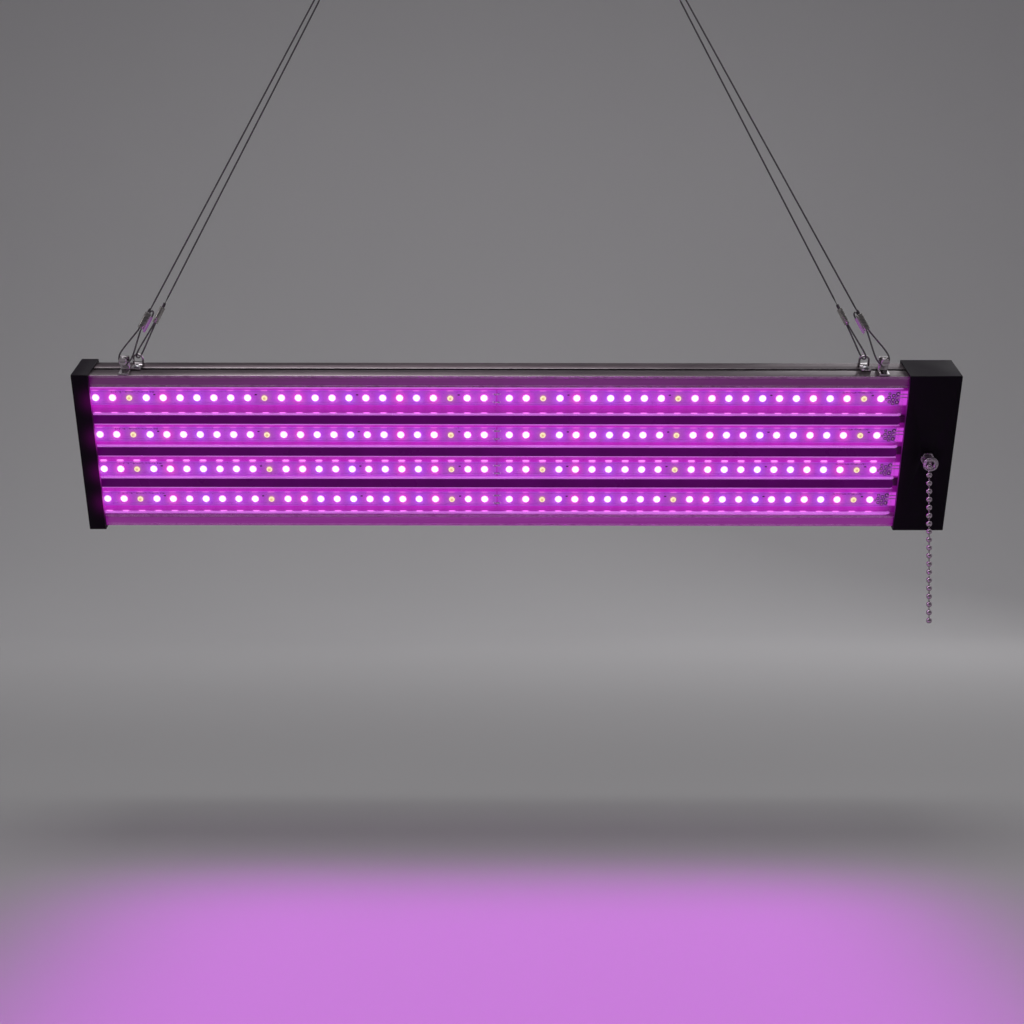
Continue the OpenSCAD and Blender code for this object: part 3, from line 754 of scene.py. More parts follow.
@dataclass(frozen=True)
class Emitter(Finish):
    """A lit phosphor dome with fine mottling. A warm one has a dark die in its middle."""

    glow: tuple[float, float, float] = (3.6, 2.6, 3.8)
    heart: tuple[float, float, float] = (6.0, 5.2, 6.2)
    die: bool = False

    def dress(self, nodes: Nodes, shader: bpy.types.Node) -> None:
        """Mottled light, and the die seen through the dome's front."""
        place = nodes.place()
        cloud = nodes.noise(place, 900.0, 2.0)
        light = nodes.mix(cloud, self.glow, self.heart)
        if self.die:
            normal = nodes.surface("Normal")
            front = FRAME.matrix().to_3x3() @ Vector((0, -1, 0))
            facing = nodes.add("VectorMath", {0: normal, 1: tuple(front)}, operation="DOT_PRODUCT")
            spot = nodes.spread(facing.outputs["Value"], 0.95, 0.99)
            light = nodes.mix(nodes.times(spot, 0.75), light, (0.5, 0.27, 0.09))
        self.emit(nodes, shader, light)
        nodes.put(shader.inputs["Roughness"], nodes.spread(cloud, 0.2, 0.8, 0.2, 0.4))


@dataclass(frozen=True)
class LitPlastic(Finish):
    """Dark strip between the rows with the purple cast that spilled light gives it."""

    cast: tuple[float, float, float] = (0.06, 0.0005, 0.075)

    def dress(self, nodes: Nodes, shader: bpy.types.Node) -> None:
        """Grain and a faint uneven purple cast."""
        grain = nodes.group(MouldedGrain.tree(), Color=self.color, Cloud=0.4, Scale=1500.0,
                            Gloss=self.gloss)
        nodes.put(shader.inputs["Base Color"], grain.outputs["Color"])
        nodes.put(shader.inputs["Roughness"], grain.outputs["Roughness"])
        place = nodes.place()
        slow = nodes.noise(place, 45.0, 2.0)
        weak = tuple(0.7 * part for part in self.cast)
        strong = tuple(1.3 * part for part in self.cast)
        self.emit(nodes, shader, nodes.mix(slow, weak, strong))
        self.bump(nodes, shader, grain.outputs["Height"])


@dataclass(frozen=True)
class LitCap(Plastic):
    """Cap plastic whose edges beside the rows take the LEDs' light."""

    side: Side = Side.LEFT
    reach: float = 0.006
    wall: tuple[float, float, float] = (0.5, 0.02, 0.5)
    front: tuple[float, float, float] = (0.05, 0.0, 0.045)
    lit_depth: tuple[float, float] = (0.0085, 0.011)

    def dress(self, nodes: Nodes, shader: bpy.types.Node) -> None:
        """Black plastic, lit strongly on the wall that faces the rows and faintly on the front near it."""
        super().dress(nodes, shader)
        total: object = 0.0
        for row in range(len(LAYOUT.rows)):
            total = nodes.plus(total, board_glow(nodes, row, self.side, self.reach)["Halo"])
        normal = nodes.surface("True Normal")
        turn = nodes.part(normal, "X")
        inward = nodes.times(turn, 1.0 if self.side is Side.LEFT else -1.0)
        share = nodes.spread(inward, 0.5, 0.9)
        light = nodes.mix(share, self.front, self.wall)
        ahead = nodes.spread(lamp_axes(nodes)["Y"], *self.lit_depth, 1.0, 0.0)
        self.emit(nodes, shader, nodes.mix(nodes.times(total, ahead), (0, 0, 0), light))


@dataclass(frozen=True)
class LitLip(Metal):
    """The extruded body: plain satin metal, with painted highlight lines along its lips' edges and a magenta wash on
    its lips and in its channel.
    """

    top_lip: tuple[float, float] = (-0.012, -0.009)
    bottom_lip: tuple[float, float] = (-0.108, -0.104)
    lit_depth: tuple[float, float] = (0.0095, 0.0105)

    def dress(self, nodes: Nodes, shader: bpy.types.Node) -> None:
        """Drawn metal, painted highlight lines along the edges near the top and bottom lips, and light on what stands
        at the front of the lamp frame.
        """
        super().dress(nodes, shader)
        axis = lamp_axes(nodes)
        plain = shader.inputs["Base Color"].links[0].from_socket
        # Painted highlight: a near-white colour on the edges near the top and bottom lips stands in for the thin lines
        # of light they catch.
        bright = nodes.most(nodes.spread(axis["Z"], *self.top_lip),
                            nodes.spread(axis["Z"], *self.bottom_lip, 1.0, 0.0))
        painted_highlight = nodes.times(nodes.group(EdgeWearAndHighlight.tree(), Width=0.0008).outputs["Mask"], bright)
        nodes.put(shader.inputs["Base Color"], nodes.mix(painted_highlight, plain, (1.0, 0.93, 0.97)))
        normal = nodes.surface("Normal")
        facing = nodes.add("VectorRotate", {"Vector": normal, "Angle": -FRAME.tilt}, rotation_type="X_AXIS")
        front = nodes.spread(nodes.times(nodes.part(facing.outputs[0], "Y"), -1.0), 0.5, 0.95)
        near = nodes.spread(axis["Y"], *self.lit_depth, 1.0, 0.0)
        inside = nodes.spread(nodes.apart(axis["Z"], LAYOUT.middle_z),
                              0.045, 0.0525, 0.12, 0.32)
        lower = nodes.spread(nodes.minus(axis["Z"], LAYOUT.middle_z), -0.05, -0.03, 2.9, 1.0)
        lit = nodes.times(nodes.times(front, near), nodes.times(inside, lower))
        self.emit(nodes, shader, nodes.mix(lit, (0, 0, 0), (0.2, 0.008, 0.205)))


def board_glow(nodes: Nodes, row: int, side: Side, reach: float) -> bpy.types.NodeOutputs:
    """The glow of one board's LEDs. A halo has fallen to half at the reach."""
    return nodes.group(LedGlow.tree(), First=LAYOUT.first(side), Last=float(LAYOUT.count(side) - 1),
                       Row=LAYOUT.row_z(row), Reach=reach).outputs


def row_glow(nodes: Nodes, row: int, reach: float) -> dict[str, bpy.types.NodeSocket]:
    """The glow of both boards of a row on something that runs along the whole row.

    Args:
        nodes: the material's nodes.
        row: the row, from 0.
        reach: where a halo has fallen to half, in metres.

    Returns:
        The halo and the mask along X, each the greater of the two boards'.
    """
    both = [board_glow(nodes, row, side, reach) for side in Side]
    return {label: nodes.most(both[0][label], both[1][label]) for label in ("Halo", "Along")}


def lamp_axes(nodes: Nodes) -> bpy.types.NodeOutputs:
    """X, Y and Z of a point in the lamp frame."""
    place = nodes.place()
    away = nodes.add("VectorMath", {0: place, 1: FRAME.origin}, operation="SUBTRACT").outputs[0]
    turned = nodes.add("VectorRotate", {"Vector": away, "Angle": -FRAME.tilt}, rotation_type="X_AXIS")
    return nodes.add("SeparateXYZ", {0: turned.outputs[0]}).outputs


def lamp_z(nodes: Nodes) -> bpy.types.NodeSocket:
    """Z of a point in the lamp frame, counted from the middle of the LED face."""
    return nodes.minus(lamp_axes(nodes)["Z"], LAYOUT.middle_z)


def rim_mask(nodes: Nodes, sides: tuple[float, float]) -> bpy.types.NodeSocket:
    """1 near a cover's two long rims, whose distances below the face's middle are given."""
    up = lamp_z(nodes)
    masks = [nodes.spread(nodes.math("ABSOLUTE", nodes.plus(up, side)), 0.0008, 0.0014, 1.0, 0.0)
             for side in sides]
    return nodes.most(masks[0], masks[1])


def stripes(nodes: Nodes, across, places: tuple[float, ...], half: float) -> bpy.types.NodeSocket:
    """1 on thin lines that run along X at the given distances across."""
    total: object = 0.0
    for place in places:
        away = nodes.apart(across, place)
        total = nodes.plus(total, nodes.spread(away, half, half * 1.8, 1.0, 0.0))
    return total


# The body's near-white edge colour at full strength paints edge highlights.
BODY = LitLip("drawn_aluminium", (0.17, 0.132, 0.152), 0.34, streaks=0.35, wear=1.0,
              edge=(1.0, 0.95, 0.98), dust=0.05)
# The caps' black carries a slight purple tint, a painted magenta spill from the LEDs.
CAP_LEFT = LitCap("black_cap_left", (0.008, 0.004, 0.01), 0.5, shine=0.12, wear=0.3, dust=0.03)
CAP_RIGHT = LitCap("black_cap_right", (0.008, 0.004, 0.01), 0.5, shine=0.12, wear=0.3, dust=0.03,
                   side=Side.RIGHT, reach=0.0085, wall=(2.3, 0.1, 2.6))
FITTING = Plastic("black_fitting", (0.02, 0.02, 0.024), 0.3, wear=0.3)
DRIVER_DARK = Plastic("driver_sleeve", (0.05, 0.05, 0.07), 0.5, wear=0.2)
DRIVER_GREEN = Plastic("driver_mask", (0.03, 0.16, 0.07), 0.3, grain=600.0, edge=(0.3, 0.28, 0.18))
STRIP = LitPlastic("black_strip", (0.012, 0.003, 0.014), 0.3, shine=0.12)
CHROME = Metal("bright_clip", (0.6, 0.55, 0.58), 0.12, streaks=0.15, wear=0.2)
# The nickel's mauve tint is a painted magenta reflection of the LEDs.
NICKEL = Metal("satin_nickel", (0.6, 0.5, 0.6), 0.26, streaks=0.12, wear=0.3)
# The beads' pinkish tint is a painted magenta reflection of the LEDs.
BEAD = Metal("bright_bead", (0.72, 0.58, 0.7), 0.1, streaks=0.05, wear=0.1)
ZINC = Metal("zinc_plate", (0.55, 0.55, 0.57), 0.33, streaks=0.25)
SCREW = Metal("plain_screw", (0.45, 0.44, 0.47), 0.3, streaks=0.2)
# The solder's lilac tint and cast are painted LED light.
TIN = LitPlastic("bright_solder", (0.75, 0.62, 0.75), 0.22, cast=(0.22, 0.07, 0.24))
BRASS = Metal("sheet_brass", (0.72, 0.52, 0.22), 0.25)
PIN = Metal("plated_pin", (0.66, 0.65, 0.66), 0.22)
ROPE = Metal("wire_rope", (0.16, 0.14, 0.16), 0.42, streaks=0.3, wear=0.3, edge=(0.35, 0.33, 0.36))
FERRULE = Metal("crimped_ferrule", (0.5, 0.47, 0.46), 0.28, streaks=0.4)
# The sleeve's violet colour and cast are painted magenta LED light.
SLEEVE = LitPlastic("violet_sleeve", (0.42, 0.24, 0.46), 0.2, cast=(0.1, 0.035, 0.12))
GROW = Emitter("grow_phosphor")
WARM = Emitter("warm_phosphor", glow=(1.0, 0.88, 0.36), heart=(1.05, 0.95, 0.5), die=True)
PACKAGE = Emitter("led_package", glow=(1.0, 0.55, 1.05), heart=(1.4, 0.8, 1.45))
PACKAGE_WARM = Plastic("led_package_warm", (0.42, 0.3, 0.3), 0.35, wear=0.1)
PAD = Plastic("dark_pad", (0.04, 0.02, 0.05), 0.35, wear=0.1)
# The leads are white wire; their magenta tint and cast are painted LED light.
LEAD = LitPlastic("pale_lead", (0.5, 0.36, 0.5), 0.35, cast=(0.16, 0.03, 0.18))

# ---- mesh helpers


def into_scene(name: str, data) -> bpy.types.Object:
    """An object that holds the data, in the scene."""
    made = bpy.data.objects.new(name, data)
    bpy.context.scene.collection.objects.link(made)
    return made


def solid_mesh(name: str, shape: bmesh.types.BMesh, finish: Finish) -> bpy.types.Mesh:
    """A mesh of a bmesh, which is freed, with its finish."""
    mesh = bpy.data.meshes.new(name)
    shape.to_mesh(mesh)
    shape.free()
    mesh.materials.append(finish.material())
    return mesh


def shade_smooth(mesh: bpy.types.Mesh, degrees: float) -> None:
    """Shades a mesh smooth, apart from edges that bend by more than the angle."""
    for face in mesh.polygons:
        face.use_smooth = True
    mesh.set_sharp_from_angle(angle=math.radians(degrees))


def join_rings(target: bmesh.types.BMesh, rings: list[list[bmesh.types.BMVert]]) -> None:
    """Joins equal rings into a tube that is closed at both ends."""
    for low, high in zip(rings, rings[1:]):
        for k in range(len(low)):
            n = (k + 1) % len(low)
            target.faces.new((low[k], low[n], high[n], high[k]))
    target.faces.new(list(reversed(rings[0])))
    target.faces.new(rings[-1])


def circle(radius: float, steps: int) -> list[tuple[float, float]]:
    """Points round a circle."""
    angles = (2 * math.pi * k / steps for k in range(steps))
    return [(radius * math.cos(a), radius * math.sin(a)) for a in angles]


def new_piece(name: str, shape: bmesh.types.BMesh, finish: Finish, slot: str, body: str = LAMP,
              smooth_deg: float = 35.0) -> bpy.types.Object:
    """Turns a bmesh into a piece that rides on a body.

    Args:
        name: the piece's name.
        shape: its geometry in the row frame, which is freed.
        finish: its finish.
        slot: the record's material slot.
        body: the CAD body it rides on.
        smooth_deg: edges that bend less than this are shaded smooth.

    Returns:
        The new object.
    """
    bmesh.ops.recalc_face_normals(shape, faces=shape.faces)
    mesh = solid_mesh(name, shape, finish)
    shade_smooth(mesh, smooth_deg)
    piece = into_scene(name, mesh)
    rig.slot(piece, slot)
    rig.ride(piece, body)
    LOG.info("piece %s: %d faces on %s", name, len(mesh.polygons), body)
    return piece


def lathe(target: bmesh.types.BMesh, profile: list[tuple[float, float]], place: Matrix, steps: int) -> None:
    """Turns a profile of (radius, height) points about Z into a surface, closed where the radius is 0.

    Args:
        target: the bmesh that receives the faces.
        profile: the outline, from its first end to its last.
        place: where the turned piece's own frame stands.
        steps: how many stretches a full turn has.
    """
    rings = []
    for radius, height in profile:
        if radius <= 1e-7:
            rings.append([target.verts.new(place @ Vector((0, 0, height)))])
            continue
        rings.append([target.verts.new(place @ Vector((x, y, height))) for x, y in circle(radius, steps)])
    for low, high in zip(rings, rings[1:]):
        for k in range(steps):
            n = (k + 1) % steps
            corners = [low[k % len(low)], low[n % len(low)], high[n % len(high)], high[k % len(high)]]
            unique = list(dict.fromkeys(corners))
            if len(unique) > 2:
                target.faces.new(unique)


def sweep(target: bmesh.types.BMesh, path: list[Vector], section: list[tuple[float, float]],
          turns_per_m: float = 0.0) -> None:
    """Sweeps a closed section along a path, turning it as it goes.

    Args:
        target: the bmesh that receives the faces.
        path: the points of the centre line.
        section: the section's outline, as (side, up) points.
        turns_per_m: how many turns the section makes for each metre.
    """
    tangents = [(path[min(i + 1, len(path) - 1)] - path[max(i - 1, 0)]).normalized()
                for i in range(len(path))]
    across = tangents[0].cross(Vector((0.3, 0.9, 0.2))).normalized()
    rings, run = [], 0.0
    for i, (point, ahead) in enumerate(zip(path, tangents)):
        across = (across - across.dot(ahead) * ahead).normalized()
        run += (point - path[i - 1]).length if i else 0.0
        turn = Matrix.Rotation(2 * math.pi * turns_per_m * run, 3, ahead)
        side = turn @ across
        up = ahead.cross(side)
        rings.append([target.verts.new(point + a * side + b * up) for a, b in section])
    join_rings(target, rings)


def rounded_outline(x0: float, x1: float, z0: float, z1: float, radius: float, steps: int) -> list[tuple]:
    """The outline of a rounded rectangle, as (x, z) points in order."""
    left, right, low, high = x0 + radius, x1 - radius, z0 + radius, z1 - radius
    points = []
    for cx, cz, start in ((right, high, 0.0), (left, high, 0.5), (left, low, 1.0), (right, low, 1.5)):
        for k in range(steps + 1):
            angle = math.pi * (start + 0.5 * k / steps)
            points.append((cx + radius * math.cos(angle), cz + radius * math.sin(angle)))
    return points


def smooth_route(points: list[Vector], step: float) -> list[Vector]:
    """A smooth curve through the points, with new points about step apart."""
    route = []
    for i in range(len(points) - 1):
        before, start = points[max(i - 1, 0)], points[i]
        end, after = points[i + 1], points[min(i + 2, len(points) - 1)]
        pieces = max(1, round((end - start).length / step))
        straight = (end - start).length > 20 * MM
        for k in range(pieces):
            t = k / pieces
            if straight:
                route.append(start.lerp(end, t))
                continue
            route.append(0.5 * (2 * start + (end - before) * t
                                + (2 * before - 5 * start + 4 * end - after) * t * t
                                + (3 * start - before - 3 * end + after) * t ** 3))
    return [*route, points[-1]]


# ---- camera, light, stage


@dataclass(frozen=True)
class PaleFloor(Finish):
    """Matt floor that turns paler as it rises into the backdrop, a painted shade gradient that keeps the floor darker
    near the lamp. It is clear from below and behind.
    """

    # Darker floor colour near the lamp: painted shade.
    near: tuple[float, float, float] = (0.4, 0.39, 0.4)

    def dress(self, nodes: Nodes, shader: bpy.types.Node) -> None:
        """The painted shade gradient along Y, with very slight unevenness."""
        place = nodes.place()
        cloud = nodes.noise(place, 3.0, 3.0)
        depth = nodes.part(place, "Y")
        painted_gradient = nodes.mix(nodes.spread(depth, 0.2, 1.9), self.near, self.color)
        shade = nodes.mix(cloud, grey(0.97), grey(1.0))
        nodes.put(shader.inputs["Base Color"], nodes.mix(1.0, painted_gradient, shade, "MULTIPLY"))
        nodes.put(shader.inputs["Roughness"], nodes.spread(cloud, 0.0, 1.0, 0.65, 0.8))
        back = nodes.surface("Backfacing")
        nodes.put(shader.inputs["Alpha"], nodes.minus(1.0, back))


@dataclass(frozen=True)
class Studio:
    """Camera, a pale floor that curves up into a backdrop, and soft light."""

    camera_at: tuple[float, float, float] = (0.0093, -1.1234, -0.43706)
    lens: float = 55.72
    roll_deg: float = -0.077
    dark_air: tuple[float, float, float] = (0.075, 0.073, 0.078)
    pale_air: tuple[float, float, float] = (0.3, 0.298, 0.305)
    floor_z: float = -0.655
    bend: float = 1.0
    wall_y: float = 2.6

    def build(self) -> None:
        """Makes the camera, the world, the floor and the lights."""
        data = bpy.data.cameras.new("camera")
        data.lens, data.sensor_width = self.lens, 36.0
        data.clip_start, data.clip_end = 0.01, 60.0
        camera = into_scene("camera", data)
        camera.location = self.camera_at
        camera.rotation_euler = (math.radians(90), math.radians(self.roll_deg), 0)
        bpy.context.scene.camera = camera
        bpy.context.scene.view_settings.view_transform = "Standard"
        self.air()
        self.floor()
        self.softbox("soft_above", (0, 0.1, 1.3), (0, 0.1, 0), (1.2, 1.2), 14.0)
        self.softbox("soft_left", (-1.6, -0.9, 0.5), (0, 0, -0.35), (0.8, 0.8), 3.0)
        self.softbox("soft_back", (0.9, 1.5, 0.35), (0, 0, -0.4), (0.8, 0.8), 2.5)
        pool = self.softbox("row_light_pool", (0.012, -0.44, -0.25), (0.012, -0.44, -1), (0.46, 0.5), 0.93,
                            (0.755, 0.0, 1.0), 34.0)
        pool.visible_glossy = False

    def air(self) -> None:
        """The world: darker on the viewer's side, paler behind the lamp."""
        world = bpy.data.worlds.new("air")
        world.use_nodes = True
        nodes = Nodes(world.node_tree)
        way = nodes.add("TexCoord").outputs["Generated"]
        depth = nodes.part(way, "Y")
        shade = nodes.mix(nodes.spread(depth, -0.8, 0.6), self.dark_air, self.pale_air)
        nodes.put(world.node_tree.nodes["Background"].inputs["Color"], shade)
        bpy.context.scene.world = world

    def floor(self) -> None:
        """The floor and backdrop, one sheet that is bent along X."""
        profile = [(-9.0, 0.0), (self.wall_y - self.bend, 0.0)]
        steps = 24
        for k in range(1, steps + 1):
            angle = math.pi / 2 * k / steps
            profile.append((self.wall_y - self.bend + self.bend * math.sin(angle),
                            self.bend * (1 - math.cos(angle))))
        profile.append((self.wall_y, 4.0))
        shape = bmesh.new()
        rails = [[shape.verts.new((x, y, self.floor_z + z)) for y, z in profile] for x in (-7.0, 7.0)]
        for k in range(len(profile) - 1):
            shape.faces.new((rails[0][k], rails[1][k], rails[1][k + 1], rails[0][k + 1]))
        mesh = solid_mesh("floor", shape, PaleFloor("floor_pale", (0.9, 0.885, 0.9)))
        shade_smooth(mesh, 180.0)
        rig.stage(into_scene("floor", mesh))

    def softbox(self, name: str, at: tuple, target: tuple, size: tuple[float, float], power: float,
                color: tuple = (1.0, 1.0, 1.0), spread_deg: float = 180.0) -> bpy.types.Object:
        """One area light that looks at a point.

        Args:
            name: the light's name.
            at: where it is.
            target: the point it looks at.
            size: its length and width.
            power: its power in watts.
            color: its colour.
            spread_deg: how widely its beam opens.

        Returns:
            The light's object.
        """
        light = bpy.data.lights.new(name, "AREA")
        light.shape, light.size, light.size_y = "RECTANGLE", *size
        light.energy, light.color = power, color
        light.spread = math.radians(spread_deg)
        holder = into_scene(name, light)
        holder.location = at
        holder.rotation_euler = (Vector(target) - Vector(at)).to_track_quat("-Z", "Y").to_euler()
        holder.visible_camera = False
        return holder


# ---- suspension


@dataclass(frozen=True)
class RopeEnd:
    """One wire rope: its name, its lower eye in the lamp frame and its upper eye in the row frame."""

    name: str
    low: tuple[float, float, float]
    high: tuple[float, float, float]
    loop_plane: Plane


@dataclass
class Suspension:
    """Four wire ropes with an eye at each end, their folded tails' sleeves, and the hooks' threads."""

    rope_d: float = 1.2 * MM
    strand_count: int = 6
    lay_length: float = 8 * MM
    hook_x: float = 0.1054
    rope_side: float = 0.0014
    hook_low: float = -0.028
    body_top: float = -0.0017
    post_h: float = 0.0089
    arch_bar: float = 0.00815
    sleeve_r: float = 0.88 * MM
    sleeve_points: int = 14
    upper_ferrule: tuple[float, float] = (16.0, 31.0)
    wide_loop: tuple = ((23.4, -3.2), (28, -3.4), (34, -3.4), (37.4, -3.2), (38.8, -2.6), (39.2, -1.9),
                        (38.7, -1.2), (37.4, -0.75), (24.6, -0.75), (21, -1.2), (14, -2.6), (8, -3.8),
                        (3.5, -4.3), (0.6, -3.9), (-1.6, -2.7), (-2.7, 0), (-1.6, 2.7), (0.6, 3.9),
                        (3.5, 4.3), (8, 3.8), (14, 2.6), (21, 1.2), (24.6, 0.75), (36.6, 0.75), (40, 0.5),
                        (46, 0))
    small_loop: tuple = ((40, -0.75), (36.6, -0.75), (24.6, -0.75), (21, -0.9), (13, -1.6), (5, -2.4),
                         (1.2, -2.5), (-1.2, -2.2), (-2.2, -1.2), (-2.5, 0), (-2.2, 1.2), (-1.2, 2.2),
                         (1.2, 2.5), (5, 2.4), (13, 1.6), (21, 0.9), (24.6, 0.75), (36.6, 0.75),
                         (40, 0.5), (46, 0))
    hook_bight: tuple = ((8, 2.1), (3, 2.9), (1.4, 2.8), (-1.2, 2.7), (-2.9, 1.5), (-3.4, 0), (-2.9, -1.5),
                         (-1.2, -2.7), (1.4, -2.8), (3, -2.9), (8, -2.1))

    def ends(self) -> list[RopeEnd]:
        """The four ropes' ends."""
        post, bar = self.body_top + self.post_h, self.body_top + self.arch_bar
        out, near = self.hook_x + self.rope_side, self.hook_x - self.rope_side
        low = self.hook_low
        return [RopeEnd("front_left", (-0.2702, 0.0108, post), (-out, 0, low), Plane.FRONT_LEFT),
                RopeEnd("front_right", (0.2528, 0.0108, post), (out, 0, low), Plane.FRONT_RIGHT),
                RopeEnd("rear_left", (-0.2626, 0.024, bar), (-near, 0, low), Plane.REAR_LEFT),
                RopeEnd("rear_right", (0.2408, 0.023, bar), (near, 0, low), Plane.REAR_RIGHT)]

    def hook_loop(self, start: float) -> list[tuple[float, float]]:
        """The upper eye's outline for a ferrule that starts at a distance in millimetres."""
        return [(start + 24, 0), (start + 16, 0.5), (start + 12, 0.75), (start, 0.75), (start - 3, 1),
                *self.hook_bight, (start - 3, -1), (start, -0.75), (start + 12, -0.75),
                (start + 15, -0.75)]

    def route(self, rope: RopeEnd) -> list[Vector]:
        """The rope's own points, from the tail of its lower eye to the tail of its upper one."""
        low, high = FRAME.point(*rope.low), Vector(rope.high)
        ahead = (high - low).normalized()
        front = rope.name.startswith("front")
        points = []
        for shape, start, way, plane in (
                (self.wide_loop if front else self.small_loop, low, ahead, rope.loop_plane),
                (self.hook_loop(self.upper_ferrule[0 if front else 1]), high, -ahead, Plane.HOOK)):
            flat = Vector(plane.value)
            side = (flat - flat.dot(ahead) * ahead).normalized()
            points += [start + a * MM * way + b * MM * side for a, b in shape]
        return points

    def section(self) -> list[tuple[float, float]]:
        """Six lobes, one for each strand."""
        steps, outer = 3 * self.strand_count, self.rope_d / 2
        points = []
        for k in range(steps):
            angle = 2 * math.pi * k / steps
            radius = outer * (1.0 if k % 3 == 1 else 0.86)
            points.append((radius * math.cos(angle), radius * math.sin(angle)))
        return points

    def build(self) -> None:
        """Makes the ropes first, because their reach is measured against the camera's view."""
        for rope in self.ends():
            path = smooth_route(self.route(rope), 0.9 * MM)
            shape = bmesh.new()
            sweep(shape, path, self.section(), 1 / self.lay_length)
            piece = new_piece(f"stranded_rope_{rope.name}", shape, ROPE, "rope_steel")
            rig.replaces(piece, f"rope_{rope.name}")
            length = sum((b - a).length for a, b in zip(path, path[1:]))
            gripped = [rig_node(f"ferrules_{rope.name}")]
            if rope.name.startswith("front"):
                gripped.append(self.sleeve(rope, path))
            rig.cord(piece, exit=tuple(path[0]), length=round(length, 3), diameter=self.rope_d,
                    far_end="object", stiffness="stiff", lay="taut", path=[tuple(p) for p in path],
                    with_pieces=gripped)
        self.threads()

    def sleeve(self, rope: RopeEnd, path: list[Vector]) -> bpy.types.Object:
        """The shrunk sleeve over the folded tail, which tapers at both ends. Its violet colour and glow are painted
        magenta LED light.
        """
        run = path[:self.sleeve_points]
        shape = bmesh.new()
        rings = []
        for k, point in enumerate(run):
            ahead = (run[min(k + 1, len(run) - 1)] - run[max(k - 1, 0)]).normalized()
            side = ahead.orthogonal().normalized()
            up = ahead.cross(side)
            radius = self.sleeve_r * (0.82 if k in (0, len(run) - 1) else 1.0)
            rings.append([shape.verts.new(point + a * side + b * up) for a, b in circle(radius, 12)])
        join_rings(shape, rings)
        return new_piece(f"tail_sleeve_{rope.name}", shape, SLEEVE, "fitting_black", smooth_deg=60)

    def threads(self) -> None:
        """A real screw thread on each hook's shank."""
        for side, x in (("left", -self.hook_x), ("right", self.hook_x)):
            shape = bmesh.new()
            turns, rise, steps = 13, 1.35 * MM, 18
            angles = (2 * math.pi * k / steps for k in range(turns * steps))
            path = [Vector((x + 1.5 * MM * math.cos(a), 1.5 * MM * math.sin(a),
                            1.4 * MM + rise * a / (2 * math.pi))) for a in angles]
            sweep(shape, path, [(-0.3 * MM, 0.35 * MM), (-0.3 * MM, -0.35 * MM), (0.35 * MM, 0.0)])
            new_piece(f"hook_thread_{side}", shape, ZINC, "hook_zinc", "ceiling")


# ---- LED face


